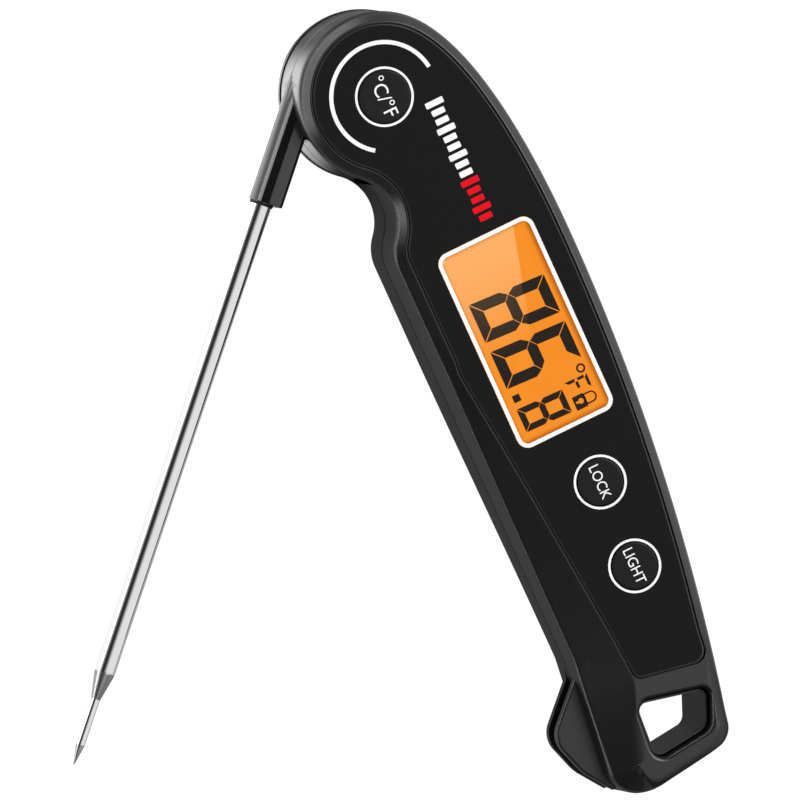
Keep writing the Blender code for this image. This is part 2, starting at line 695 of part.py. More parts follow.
def make_hinge_lead():
    turns = []
    for i in range(25):
        a = math.radians(-335 * (24 - i) / 24)
        r = 7.2 - 0.9 * i / 24
        turns.append((r * math.cos(a), r * math.sin(a), 9.6 + 0.4 * math.sin(math.pi * i / 24)))
    turns += [(5.0, 0.8, 9.8), (3.4, 0.1, 10.0), (1.6, 0.0, 10.3), (0.6, 0.0, 11.2), (0.3, 0.0, 12.5),
              (0.3, 0.0, 15.25)]
    lead = swept("hinge_lead", turns, 0.4, 6)
    finish(lead, (0.75, 0.75, 0.72), 0.5)


# ------------------------------------------------------------------ battery bay
def make_battery():
    y0, y1 = CELL_Y0, CELL_Y1
    length = y1 - y0
    profile = [(0, length + 0.85), (1.75, length + 0.85), (1.9, length + 0.7), (1.9, length),
               (4.7, length), (CELL_R, length - 0.5), (CELL_R, 0.4), (4.8, 0), (0, 0)]
    cell = turned_along("battery_cell", profile, (CELL_X, y0, CELL_Z), (0, 1, 0), 28)
    finish(cell, (0.62, 0.4, 0.16), 0.35, 0.6)
    for tag, ya, yb in (("upper", -54.55, -54.15), ("lower", -103.0, -102.6)):
        plate = box("contact_" + tag, CELL_X - 3.8, CELL_X + 3.8, ya, yb, 2.6, 12.0)
        finish(plate, STEEL, 0.35, 1.0)
    coil = []
    for i in range(40):
        a = 2 * math.pi * i / 12
        r = 3.4 - 1.5 * i / 39
        coil.append((CELL_X + r * math.cos(a), -102.2 + 2.4 * i / 39, CELL_Z + r * math.sin(a)))
    spring = swept("contact_spring", coil, 0.3, 6)
    finish(spring, STEEL, 0.3, 1.0)


def make_battery_door():
    x0, x1, y0, y1 = DOOR
    door = prism("battery_door", rounded_box(x0, x1, y0, y1, 1.5), 0.0, 1.4)
    cut(door, disc("door_hole_cut", DOOR_SCREW[0], DOOR_SCREW[1], 1.7, -1.0, 3.0, 28))
    cut(door, disc("door_sink_cut", DOOR_SCREW[0], DOOR_SCREW[1], 3.1, -1.0, 0.85, 32))
    for i in range(6):
        y = -58.0 - 2.0 * i
        cut(door, box("door_grip_cut_%d" % i, -0.6, 7.6, y - 0.45, y + 0.45, -1.0, 0.35))
    finish(door, BLACK, 0.5)
    seal = band("door_seal", rounded_box(x0 + 0.1, x1 - 0.1, -104.2, y1 - 0.1, 1.4),
                rounded_box(x0 + 0.8, x1 - 0.8, -103.5, y1 - 0.8, 0.8), 1.46, 1.74)
    finish(seal, (0.25, 0.25, 0.26), 0.8)
    x, y = DOOR_SCREW
    screw = turned("door_screw", [(0, 7.4), (1.0, 7.4), (1.3, 7.0), (1.3, 0.75), (2.85, 0.75),
                                  (2.85, 0.2), (2.65, 0.05), (0, 0.05)], x, y, 24)
    cut(screw, box("door_slot_cut", x - 4.0, x + 4.0, y - 0.5, y + 0.5, -1.0, 0.5))
    finish(screw, STEEL, 0.3, 1.0)
    insert = turned("screw_insert", [(2.0, 7.9), (2.0, 2.0), (1.5, 2.0), (1.5, 7.9)], x, y, 20)
    finish(insert, (0.75, 0.57, 0.25), 0.3, 1.0)


def make_case_screws():
    for i, (x, y) in enumerate(SCREWS):
        screw = turned("case_screw_%d" % (i + 1), [(0, 14.5), (0.5, 14.5), (0.85, 13.6), (0.85, 3.85),
                                                   (1.8, 3.85), (1.8, 2.9), (1.45, 2.5), (0, 2.5)],
                       x, y, 16)
        cross = box("cross_a_cut_%d" % i, x - 1.1, x + 1.1, y - 0.22, y + 0.22, 1.0, 3.2)
        cut(screw, cross)
        cut(screw, box("cross_b_cut_%d" % i, x - 0.22, x + 0.22, y - 1.1, y + 1.1, 1.0, 3.2))
        finish(screw, STEEL, 0.35, 1.0)


def make_back_details():
    magnet = disc("rear_magnet", MAGNET[0], MAGNET[1], 5.0, 2.1, 4.1, 32)
    finish(magnet, (0.6, 0.6, 0.62), 0.25, 1.0)
    label = prism("rear_label", rounded_box(-3.0, 11.0, -46.0, -26.0, 1.8), 0.1, 0.38)
    finish(label, (0.55, 0.56, 0.57), 0.5)


# ------------------------------------------------------------------ hinge and probe
def arm_ring(s, grow):
    """Cross-section of the arm at distance s along the folded probe, moved inward by grow."""
    half = math.degrees(math.asin(ARM_CREASE[1] / ARM_BACK_R))
    bulge = arc(ARM_BACK_R - ARM_OUTER, 0.0, ARM_BACK_R, 180 - half, 180 + half, 12)
    lower = [(ARM_FACET[0], -ARM_HALF_T), (ARM_FACET[1], -ARM_HALF_T), (ARM_INNER[0], -ARM_INNER[1])]
    upper = [(u, -v) for u, v in lower[::-1]]
    return [(u - PROBE_OFFSET, -s, SPLIT_Z + v) for u, v in inset(lower + upper + bulge, grow)]


def hub_half(name, z0, z1):
    """Half of the drum with its half of the arm, between two heights."""
    drum = turned(name, [(HUB_R, HUB_Z1 - 0.3), (HUB_R, HUB_Z0 + 0.3), (HUB_R - 0.3, HUB_Z0),
                         (HUB_RECESS_R, HUB_Z0), (HUB_RECESS_R, HUB_WEB_Z0),
                         (HUB_BORE_R, HUB_WEB_Z0), (HUB_BORE_R, HUB_WEB_Z1),
                         (HUB_RECESS_R, HUB_WEB_Z1), (HUB_RECESS_R, HUB_Z1), (HUB_R - 0.3, HUB_Z1)],
                  steps=48)
    stations = ((0.5, 0.12), (2.5, 0.0), (14.0, 0.0), (ARM_END - 0.2, 0.0), (ARM_END, 0.2))
    rings = [arm_ring(s, g) for s, g in stations]
    add(drum, loft(name + "_arm", rings))
    keep = box(name + "_keep", -40, 40, -40, 40, z0, z1)
    combine(drum, keep, "INTERSECT")
    bore = turned_along(name + "_bore_cut", [(0, 20), (TUBE_R + 0.08, 20), (TUBE_R + 0.08, 0), (0, 0)],
                        (-PROBE_OFFSET, -TUBE_START + 0.4, SPLIT_Z), (0, -1, 0), 24)
    cut(drum, bore)
    cut(drum, box(name + "_lead_cut", -PROBE_OFFSET - 0.7, -PROBE_OFFSET + 0.7, -10.5, 1.2, 9.2, 10.8))
    cut(drum, box(name + "_gate_cut", -PROBE_OFFSET - 0.7, -7.4, -0.7, 0.7, 9.2, 10.8))
    ring = turned(name + "_chamber_cut", [(CHAMBER_R1, 11.6), (CHAMBER_R1, 8.4), (HUB_BORE_R - 0.5, 8.4),
                                          (HUB_BORE_R - 0.5, 11.6)], steps=36)
    cut(drum, ring)
    return drum


def make_hub(pivot):
    front = hub_half("hub_front", SPLIT_Z + 0.06, 18.0)
    cut(front, turned("front_ring_cut", [(10.6, 15.0), (10.6, 12.8), (9.4, 12.8), (9.4, 15.0)], steps=32))
    finish(front, (0.015, 0.015, 0.017), 0.2)
    rear = hub_half("hub_rear", 2.0, SPLIT_Z - 0.06)
    cut(rear, turned("rear_ring_cut", [(10.6, 7.2), (10.6, 5.0), (9.4, 5.0), (9.4, 7.2)], steps=32))
    finish(rear, (0.015, 0.015, 0.017), 0.2)
    for obj in (front, rear):
        for mod in obj.modifiers:
            mod.object.parent = pivot
        obj.parent = pivot


def ring_profile(big, z, r, n=6):
    """Closed round section for a rubber ring."""
    out = []
    for i in range(n):
        a = math.pi / 2 - 2 * math.pi * i / n
        out.append((big + r * math.cos(a), z + r * math.sin(a)))
    return out


def make_hinge_parts(pivot):
    cup = turned("head_cup", [(11.6, 17.2), (11.6, 14.0), (2.6, 14.0), (2.6, 15.2), (10.4, 15.2),
                              (10.4, 17.2)], steps=48)
    cut(cup, box("cup_notch_cut", -2.3, 2.3, -13.0, -9.0, 16.05, 18.0))
    finish(cup, (0.05, 0.05, 0.055), 0.5)
    washer = turned("hinge_washer", [(7.6, 6.05), (7.6, 5.2), (4.6, 5.2), (4.6, 6.05)], steps=28)
    finish(washer, (0.85, 0.84, 0.8), 0.4)
    spring = turned("hinge_spring", [(7.4, 4.3), (7.4, 3.6), (5.0, 4.3), (5.0, 5.0)], steps=28)
    finish(spring, STEEL, 0.3, 1.0)
    for tag, z in (("front", 13.42), ("rear", 6.58)):
        ring = turned("hub_seal_" + tag, ring_profile(10.0, z, 0.5), steps=32)
        finish(ring, (0.08, 0.08, 0.08), 0.7)
        ring.parent = pivot


def make_probe(pivot):
    x = -PROBE_OFFSET
    needle = TIP_END - CONE_LEN - NEEDLE_LEN
    tube_end = needle - TAPER_LEN
    span = tube_end - TUBE_START
    start = (x, -TUBE_START, SPLIT_Z)
    tube = turned_along("probe_tube", [(TUBE_R, span - 0.03), (TUBE_R, 0), (TUBE_BORE_R, 0),
                                       (TUBE_BORE_R, span - 0.03)], start, (0, -1, 0), 32)
    tip_len = TIP_END - tube_end
    bore = tip_len - CONE_LEN - 0.5
    tip = turned_along("probe_tip", [(0, tip_len), (0.12, tip_len - 0.15), (NEEDLE_R, tip_len - CONE_LEN),
                                     (NEEDLE_R, TAPER_LEN + 0.15), (NEEDLE_R + 0.08, TAPER_LEN - 0.25),
                                     (TUBE_R, 0.0), (1.3, 0.0), (1.15, 0.9), (0.55, TAPER_LEN),
                                     (0.55, bore), (0, bore)],
                       (x, -tube_end, SPLIT_Z), (0, -1, 0), 32)
    bead = turned_along("thermistor", [(0, 1.6), (0.28, 1.45), (0.4, 1.0), (0.4, 0.5), (0.25, 0.1),
                                       (0, 0)], (x, -(TIP_END - 6.1), SPLIT_Z), (0, -1, 0), 16)
    lead = swept("probe_lead", [(x, -(TIP_END - 6.3), SPLIT_Z), (x, -needle, SPLIT_Z),
                                (x, -60.0, SPLIT_Z), (x, -9.0, SPLIT_Z), (x, -1.6, SPLIT_Z),
                                (x + 0.4, -0.5, SPLIT_Z), (x + 1.2, 0.0, SPLIT_Z),
                                (x + 4.2, 0.0, SPLIT_Z)], 0.34, 10)
    seal = turned_along("socket_seal", [(2.15, 0.5), (2.15, 0.0), (TUBE_R + 0.03, 0.0),
                                        (TUBE_R + 0.03, 0.5)], (x, -(ARM_END + 0.03), SPLIT_Z),
                        (0, -1, 0), 24)
    finish(tube, STEEL, 0.18, 1.0)
    finish(tip, (0.6, 0.6, 0.61), 0.32, 1.0)
    finish(bead, (0.3, 0.12, 0.05), 0.4)
    finish(lead, (0.8, 0.8, 0.76), 0.5)
    finish(seal, (0.06, 0.06, 0.06), 0.7)
    for obj in (tube, tip, bead, lead, seal):
        obj.parent = pivot


# ------------------------------------------------------------------ build
def build():
    for obj in list(bpy.data.objects):
        bpy.data.objects.remove(obj)
    make_rear_shell()
    make_front_shell()
    make_case_seal()
    make_face_panel()
    make_display_window()
    make_keys()
    make_key_seals()
    make_switches()
    make_display()
    make_boards()
    make_key_flex()
    make_hinge_lead()
    make_battery()
    make_battery_door()
    make_case_screws()
    make_back_details()
    pivot = bpy.data.objects.new("probe_pivot", None)
    bpy.context.scene.collection.objects.link(pivot)
    make_hub(pivot)
    make_hinge_parts(pivot)
    make_probe(pivot)
    pivot.rotation_euler = (0.0, 0.0, -math.radians(REST_OPEN_DEG))


build()
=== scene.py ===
import math

import bpy
from mathutils import Matrix, Vector


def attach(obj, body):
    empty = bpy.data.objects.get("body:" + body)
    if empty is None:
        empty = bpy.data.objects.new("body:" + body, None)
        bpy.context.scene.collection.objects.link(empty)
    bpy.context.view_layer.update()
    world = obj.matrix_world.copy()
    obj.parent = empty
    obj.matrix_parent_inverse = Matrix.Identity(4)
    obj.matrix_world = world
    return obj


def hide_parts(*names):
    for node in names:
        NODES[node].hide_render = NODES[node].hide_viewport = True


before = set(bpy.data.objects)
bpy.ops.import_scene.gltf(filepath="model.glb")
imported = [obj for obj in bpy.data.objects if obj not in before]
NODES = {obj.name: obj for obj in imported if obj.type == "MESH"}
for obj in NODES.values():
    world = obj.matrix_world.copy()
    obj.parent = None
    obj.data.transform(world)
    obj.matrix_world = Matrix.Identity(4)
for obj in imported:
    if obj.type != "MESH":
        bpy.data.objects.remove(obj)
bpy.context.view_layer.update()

MM = 0.001

# ---- the CAD's own sizes, repeated here because the frame is all that this script reads
BODY_T = 20.0
SPLIT_Z = 10.0
SPLIT_GAP = 0.07
SEAM = ((0.0, 0.45), (0.12, 0.14), (0.42, 0.0))      # softened lip of each shell at the split: depth, rise
HEAD_R = 15.2
RIGHT_X, RIGHT_Y, RIGHT_LOWER_R = 21.2, -37.0, 391.0
WALL_X = -10.65
DENT_X, DENT_Y = -6.6, -18.3
SHOULDER_R = 8.0
FLARE_Y = -106.5
END_LEFT, END_LEFT_R = (-13.9, -134.3), 5.5
END_RIGHT, END_RIGHT_R = (9.8, -131.4), 4.0
BEZEL_W, BEZEL_DROP, BEZEL_END_W, BEZEL_END_DROP = 1.7, 2.0, 0.8, 0.7
LAND_W, PANEL_GAP, PANEL_T = 0.25, 0.2, 1.0
DECK_TOP, DECK_BOTTOM = 18.8, 17.3
WALL_T, BACK_T = 1.9, 2.0
BACK_ROUND, BACK_ROUND_LOW = 2.0, 4.4
HUB_R, HUB_Z0, HUB_Z1 = 15.05, 3.7, 16.3
HUB_RECESS_R, HUB_WEB_Z0, HUB_WEB_Z1 = 12.0, 6.3, 13.7
HUB_BAY_R, HUB_BAY_Z0, HUB_BAY_Z1 = 15.9, 3.4, 16.6
HUB_WALL_R, HUB_GAP = 17.6, 0.06
BOSS_R, BOSS_BORE_R, HUB_BORE_R = 4.12, 2.2, 4.2
CHAMBER_R1 = 8.4
REST_OPEN_DEG = 44.0
SWEEP_FROM, SWEEP_TO = -6.0, 222.0
PROBE_OFFSET = 12.75
ARM_HALF_T, ARM_OUTER, ARM_BACK_R = 3.8, 2.4, 4.243
ARM_CREASE, ARM_FACET, ARM_INNER = (-1.0, 3.15), (0.38, 2.485), (3.1, 3.15)
ARM_END = 24.5
TUBE_R, TUBE_BORE_R, TUBE_START = 1.9, 1.4, 10.0
TIP_END, NEEDLE_R, CONE_LEN, NEEDLE_LEN, TAPER_LEN = 130.0, 0.82, 3.7, 8.7, 4.8
WINDOW, WINDOW_R = (-3.9, 15.3, -68.2, -30.0), 2.2
KEYS = {"unit": ((0.0, 0.0), 4.75), "lock": ((6.8, -79.2), 4.25), "light": ((6.2, -95.5), 4.25)}
KEY_GAP, KEY_FLANGE = 0.15, 0.75
CELL_X, CELL_Z, CELL_R, CELL_Y0, CELL_Y1 = 3.5, 7.25, 5.2, -99.3, -55.5
DOOR = (-3.6, 10.6, -110.0, -52.0)
DOOR_SCREW = (3.5, -106.6)
SCREWS = ((14.0, -25.2), (-6.0, -74.5), (13.6, -87.3), (-6.3, -108.0))
MAGNET = (4.0, -36.0)
GUARD_SLOT = (7.8, 12.2)
LOOP_FLARE_FRONT, LOOP_FLARE_REAR = 0.9, 0.7
BELOW, ABOVE = -1.0, 22.0               # heights that cutters reach, clear of the body
LOOP = ((-4.0, -117.7, 2.2), (-4.8, -129.2, 2.2), (6.9, -128.05, 2.8), (9.9, -121.0, 1.8))


# ------------------------------------------------------------------ outlines
def arc(cx, cy, r, a0, a1, n):
    """Points on a circle from angle a0 to a1 in degrees, both ends included."""
    turns = [math.radians(a0 + (a1 - a0) * i / n) for i in range(n + 1)]
    return [(cx + r * math.cos(a), cy + r * math.sin(a)) for a in turns]


def bezier(p0, p1, p2, p3, n):
    """Cubic curve from p0 to p3, both ends included."""
    out = []
    for i in range(n + 1):
        t = i / n
        b = ((1 - t) ** 3, 3 * t * (1 - t) ** 2, 3 * t * t * (1 - t), t ** 3)
        out.append(tuple(sum(w * p[k] for w, p in zip(b, (p0, p1, p2, p3))) for k in (0, 1)))
    return out


def line(p0, p1, n):
    """n + 1 evenly spaced points from p0 to p1."""
    return [(p0[0] + (p1[0] - p0[0]) * i / n, p0[1] + (p1[1] - p0[1]) * i / n) for i in range(n + 1)]


def fillet(a, v, b, r, n):
    """Arc of radius r that rounds the corner v between the directions to a and b."""
    va = Vector((a[0] - v[0], a[1] - v[1])).normalized()
    vb = Vector((b[0] - v[0], b[1] - v[1])).normalized()
    half = va.angle(vb) / 2
    centre = Vector(v) + (va + vb).normalized() * (r / math.sin(half))
    start = Vector(v) + va * (r / math.tan(half)) - centre
    end = Vector(v) + vb * (r / math.tan(half)) - centre
    sweep = start.angle_signed(end)
    out = []
    for i in range(n + 1):
        p = Matrix.Rotation(-sweep * i / n, 2) @ start
        out.append((centre.x + p.x, centre.y + p.y))
    return out


def rounded_polygon(corners, n=14):
    """Closed outline through corners given as (x, y, radius)."""
    out = []
    for i, c in enumerate(corners):
        a = corners[i - 1]
        b = corners[(i + 1) % len(corners)]
        out += fillet(a[:2], c[:2], b[:2], c[2], n)
    return out


def rounded_box(x0, x1, y0, y1, r, n=12):
    """Counter-clockwise rectangle with rounded corners."""
    return rounded_polygon(((x0, y0, r), (x1, y0, r), (x1, y1, r), (x0, y1, r)), n)


def circle(cx, cy, r, n=96):
    return arc(cx, cy, r, 0, 360, n)[:-1]


def joined(*runs):
    """Chain of point lists without repeated neighbours, closed."""
    out = []
    for p in [q for run in runs for q in run]:
        if not out or math.dist(out[-1], p) > 0.01:
            out.append(p)
    if math.dist(out[0], out[-1]) <= 0.01:
        out.pop()
    return out


def inward(outline):
    """Unit normals that point into a counter-clockwise outline."""
    out = []
    for i in range(len(outline)):
        a, b, c = Vector(outline[i - 1]), Vector(outline[i]), Vector(outline[(i + 1) % len(outline)])
        t = (b - a).normalized() + (c - b).normalized()
        t.normalize()
        out.append((-t.y, t.x))
    return out


def inset(outline, d):
    """Outline moved inward by d, or outward when d is negative."""
    return [(p[0] + n[0] * d, p[1] + n[1] * d) for p, n in zip(outline, inward(outline))]


def dent_circles(extra):
    """Centres and radii of the dent and the shoulder, with the wall moved inward by extra."""
    r = ((DENT_X ** 2 + DENT_Y ** 2) - HEAD_R ** 2) / (2 * (HEAD_R + DENT_X))
    c = (DENT_X - r, DENT_Y)
    sx = WALL_X + SHOULDER_R
    sy = DENT_Y - math.sqrt((r + SHOULDER_R) ** 2 - (sx - c[0]) ** 2)
    return c, r + extra, (sx, sy), SHOULDER_R - extra


def right_side(top_n, low_n):
    """Right side from the lower end up to the head, as one smooth line."""
    start_y = END_RIGHT[1]
    low = []
    for i in range(low_n):
        y = start_y + (RIGHT_Y - start_y) * i / low_n
        low.append((RIGHT_X - RIGHT_LOWER_R + math.sqrt(RIGHT_LOWER_R ** 2 - (y - RIGHT_Y) ** 2), y))
    a = math.radians(50)
    end = (HEAD_R * math.cos(a), HEAD_R * math.sin(a))
    ctrl = (end[0] + 11.0 * math.sin(a), end[1] - 11.0 * math.cos(a))
    return low + bezier((RIGHT_X, RIGHT_Y), (RIGHT_X, RIGHT_Y + 22.0), ctrl, end, top_n)


def body_outline():
    """Counter-clockwise outline of the whole body, seen from the face."""
    k = 3                                # three times the CAD's steps
    dent, dent_r, shoulder, shoulder_r = dent_circles(0.0)
    meet = math.degrees(math.atan2(dent[1], dent[0])) % 360
    turn = math.degrees(math.atan2(shoulder[1] - dent[1], shoulder[0] - dent[0]))
    head = arc(0, 0, HEAD_R, 50, meet, 28 * k)
    hollow = arc(dent[0], dent[1], dent_r, meet - 180, turn, 8 * k)
    bulge = arc(shoulder[0], shoulder[1], shoulder_r, turn + 180, 180, 4 * k)
    side = line((WALL_X, shoulder[1]), (WALL_X, FLARE_Y), 12 * k)
    right = right_side(10 * k, 12 * k)
    left_corner = fillet((WALL_X, FLARE_Y), END_LEFT, END_RIGHT, END_LEFT_R, 7 * k)
    flare = line((WALL_X, FLARE_Y), left_corner[0], 5 * k)
    right_corner = fillet(END_LEFT, END_RIGHT, right[k], END_RIGHT_R, 6 * k)
    bottom = line(left_corner[-1], right_corner[0], 4 * k)
    upper = [p for p in right if p[1] > right_corner[-1][1] + 1.0]
    return joined(head, hollow, bulge, side, flare, left_corner, bottom, right_corner, upper)


def ramp(t):
    """Smooth 0 to 1 ramp."""
    t = min(max(t, 0.0), 1.0)
    return t * t * (3 - 2 * t)


def left_share(p):
    """1 on the straight left side and its flare, 0 elsewhere."""
    if p[0] > 0:
        return 0.0
    share = ramp((-20.0 - p[1]) / 10.0)
    return share * ramp((-6.0 - p[0]) / 3.5) if p[1] < -125.0 else share


def end_share(p):
    """1 along the lower edge, 0 above it and round its right corner."""
    return ramp((-122.0 - p[1]) / 8.0) * ramp((10.0 - p[0]) / 6.0)


def bezel_width(p):
    """Width of the sloping bezel at the outline point p."""
    w = 2.2 + max(0.0, (-50.0 - p[1]) * 0.0965)
    w -= 0.35 * math.exp(-((p[1] + 50.0) / 14.0) ** 2) * (p[1] < -50)
    w -= max(0.0, -113.0 - p[1]) * 0.47
    w += max(0.0, FLARE_Y - p[1]) * 0.115
    base = BEZEL_W + (BEZEL_END_W - BEZEL_W) * end_share(p)
    return base + (w - base) * left_share(p)


def bezel_drop(p):
    """How far the bezel's outer edge lies below the face."""
    d = 1.0 + 2.3 * ramp((-35.0 - p[1]) / 70.0)
    base = BEZEL_DROP + (BEZEL_END_DROP - BEZEL_DROP) * end_share(p)
    return base + (d - base) * left_share(p)


def back_round(p):
    """Radius that rounds the back edge at the outline point p."""
    grow = ramp((-45.0 - p[1]) / 60.0) * left_share(p) * (1 - ramp((-129.0 - p[1]) / 4.5))
    return BACK_ROUND + (BACK_ROUND_LOW - BACK_ROUND) * grow


def crest_outline():
    """Outline of the flat face, inside the bezel."""
    body = body_outline()
    return [(p[0] + n[0] * bezel_width(p), p[1] + n[1] * bezel_width(p))
            for p, n in zip(body, inward(body))]


def panel_outline(gap):
    """Outline of the face panel, grown by gap for the recess it sits in."""
    rim = inset(crest_outline(), LAND_W + PANEL_GAP - gap)
    n = len(rim)
    top = {i for i, p in enumerate(rim) if p[1] > -111.2}
    i = [i for i in top if (i - 1) % n not in top][0]
    run = []
    while i % n in top:
        run.append(rim[i % n])
        i += 1
    left, right = run[-1], run[0]
    corner_l = (left[0] + 0.25, -113.95 - gap)
    corner_r = (right[0] - 0.85, -116.55 - gap)
    low_l = fillet(left, corner_l, corner_r, 1.6, 14)
    low_r = fillet(corner_l, corner_r, right, 2.4, 14)
    return joined(run, low_l, low_r)


def bay_outline():
    """Inside of the handle, below the hinge chamber's wall."""
    dent, dent_r, shoulder, shoulder_r = dent_circles(WALL_T)
    turn = math.degrees(math.atan2(shoulder[1] - dent[1], shoulder[0] - dent[0]))
    right = [(p[0] - WALL_T, p[1]) for p in right_side(10, 12) if -111.0 < p[1] < -6.5]
    top_a = math.degrees(math.atan2(right[-1][1], right[-1][0]))
    left_a = math.degrees(math.asin(-17.05 / HUB_WALL_R))
    top = arc(0, 0, HUB_WALL_R, top_a, -180 - left_a, 16)
    hollow = arc(dent[0], dent[1], dent_r, 3, turn, 8)
    bulge = arc(shoulder[0], shoulder[1], shoulder_r, turn + 180, 180, 6)
    side = line((WALL_X + WALL_T, shoulder[1]), (WALL_X + WALL_T, -109.5), 4)
    floor = line((WALL_X + WALL_T + 1.0, -112.6), (right[0][0] - 1.5, -115.2), 4)
    return joined(top, hollow, bulge, side, floor, right)


# ------------------------------------------------------------------ solids
def new_object(name, verts, faces):
    """Mesh object from millimetre vertices."""
    mesh = bpy.data.meshes.new(name)
    mesh.from_pydata([(x * MM, y * MM, z * MM) for x, y, z in verts], [], faces)
    mesh.validate()
    obj = bpy.data.objects.new(name, mesh)
    bpy.context.scene.collection.objects.link(obj)
    return obj


def loft(name, rings):
    """Closed solid through rings of (x, y, z) points, listed bottom to top, counter-clockwise."""
    n = len(rings[0])
    verts = [p for ring in rings for p in ring]
    faces = [tuple(range(n - 1, -1, -1))]
    for k in range(len(rings) - 1):
        for i in range(n):
            j = (i + 1) % n
            faces.append((k * n + i, k * n + j, (k + 1) * n + j, (k + 1) * n + i))
    top = (len(rings) - 1) * n
    faces.append(tuple(range(top, top + n)))
    return new_object(name, verts, faces)


def prism(name, outline, z0, z1):
    return loft(name, [[(x, y, z) for x, y in outline] for z in (z0, z1)])


def stepped(name, outline, rings):
    """Solid through copies of an outline, given as (inward shift, height)."""
    return loft(name, [[(x, y, z) for x, y in inset(outline, d)] for d, z in rings])


def soft_prism(name, outline, z0, z1, top=0.0, low=0.0, n=4):
    """Prism whose top and bottom edges are rounded by these radii."""
    rings = []
    if low > 0:
        rings += [(low * (1 - math.sin(a)), z0 + low * (1 - math.cos(a)))
                  for a in (math.pi / 2 * i / n for i in range(n + 1))]
    else:
        rings.append((0.0, z0))
    if top > 0:
        rings += [(top * (1 - math.cos(a)), z1 - top * (1 - math.sin(a)))
                  for a in (math.pi / 2 * i / n for i in range(n + 1))]
    else:
        rings.append((0.0, z1))
    return stepped(name, outline, rings)


def box(name, x0, x1, y0, y1, z0, z1):
    return prism(name, [(x0, y0), (x1, y0), (x1, y1), (x0, y1)], z0, z1)


def band(name, outer, inner, z0, z1):
    """Ring between two outlines of equal point count."""
    n = len(outer)
    rings = [[(x, y, z0) for x, y in outer], [(x, y, z1) for x, y in outer],
             [(x, y, z1) for x, y in inner], [(x, y, z0) for x, y in inner]]
    verts = [p for ring in rings for p in ring]
    faces = []
    for k in range(4):
        m = (k + 1) % 4
        for i in range(n):
            j = (i + 1) % n
            faces.append((k * n + i, k * n + j, m * n + j, m * n + i))
    return new_object(name, verts, faces)


def turned(name, profile, cx=0.0, cy=0.0, steps=128):
    """Solid of revolution about +Z. The profile of (radius, z) runs down the outside, top to bottom."""
    verts, rows = [], []
    for r, z in profile:
        if r < 1e-6:
            rows.append([len(verts)] * steps)
            verts.append((cx, cy, z))
        else:
            rows.append(list(range(len(verts), len(verts) + steps)))
            verts += [(x, y, z) for x, y in circle(cx, cy, r, steps)]
    closed = profile[0][0] > 1e-6
    faces = []
    for k in range(len(rows) - (0 if closed else 1)):
        a, b = rows[k], rows[(k + 1) % len(rows)]
        for i in range(steps):
            j = (i + 1) % steps
            quad = (a[i], b[i], b[j], a[j])
            face = tuple(v for q, v in enumerate(quad) if v != quad[q - 1])
            if len(face) > 2:
                faces.append(face)
    return new_object(name, verts, faces)


def turned_along(name, profile, origin, axis, steps=96):
    """Solid of revolution about a line; the profile of (radius, distance) starts at the far end."""
    obj = turned(name, profile, 0.0, 0.0, steps)
    rot = Vector((0, 0, 1)).rotation_difference(Vector(axis)).to_matrix().to_4x4()
    obj.data.transform(Matrix.Translation(Vector(origin) * MM) @ rot)
    return obj


def disc(name, cx, cy, r, z0, z1, steps=96):
    return prism(name, circle(cx, cy, r, steps), z0, z1)


def swept(name, path, radius, sides=20):
    """Round wire along a list of points, with flat ends."""
    pts = [Vector(p) for p in path]
    rings, prev = [], None
    for i, p in enumerate(pts):
        t = (pts[min(i + 1, len(pts) - 1)] - pts[max(i - 1, 0)]).normalized()
        if prev is None:
            ref = Vector((0, 0, 1)) if abs(t.z) < 0.9 else Vector((1, 0, 0))
            side = t.cross(ref).normalized()
        else:
            side = (prev - t * prev.dot(t)).normalized()
        up = t.cross(side)
        prev = side
        turns = [2 * math.pi * k / sides for k in range(sides)]
        rings.append([tuple(p + side * (radius * math.cos(a)) + up * (radius * math.sin(a)))
                      for a in turns])
    return loft(name, rings)


def combine(obj, other, operation):
    """Boolean step; carve() carries the steps out and removes the helper solids."""
    mod = obj.modifiers.new(other.name, "BOOLEAN")
    mod.operation = operation
    mod.solver = "EXACT"
    mod.object = other
    return obj


def cut(obj, *others):
    for other in others:
        combine(obj, other, "DIFFERENCE")
    return obj


def add(obj, *others):
    for other in others:
        combine(obj, other, "UNION")
    return obj


def baked(obj):
    """Applies the object's modifiers to its mesh."""
    helpers = [m.object for m in obj.modifiers if m.type == "BOOLEAN"]
    shape = obj.evaluated_get(bpy.context.evaluated_depsgraph_get())
    mesh = bpy.data.meshes.new_from_object(shape)
    obj.modifiers.clear()
    obj.data = mesh
    for h in helpers:
        bpy.data.objects.remove(h)
    return obj


def carve(obj, weld=0.002):
    """Carries out the Boolean steps and cleans the mesh."""
    mod = obj.modifiers.new("weld", "WELD")
    mod.merge_threshold = weld * MM
    return baked(obj)


def group(name, objs):
    """One mesh object from several."""
    verts, faces = [], []
    for o in objs:
        base = len(verts)
        verts += [tuple(v.co / MM) for v in o.data.vertices]
        faces += [tuple(base + i for i in p.vertices) for p in o.data.polygons]
        bpy.data.objects.remove(o)
    return new_object(name, verts, faces)


def turned_out(obj):
    """Turns a piece that was built with the probe folded to the probe's angle at rest."""
    obj.data.transform(Matrix.Rotation(-math.radians(REST_OPEN_DEG), 4, "Z"))
    return obj


def place(obj, mat, body, slot=None, stands_for=(), angle=32.0, weighted=True):
    """Shading, material and body of a finished piece; the slot argument is not used."""
    obj.data.materials.clear()
    obj.data.materials.append(mat)
    obj.data.shade_smooth()
    obj.data.set_sharp_from_angle(angle=math.radians(angle))
    if weighted:
        mod = obj.modifiers.new("normals", "WEIGHTED_NORMAL")
        mod.keep_sharp = True
        mod.weight = 60
    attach(obj, body)
    if stands_for:
        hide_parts(*stands_for)
    return obj


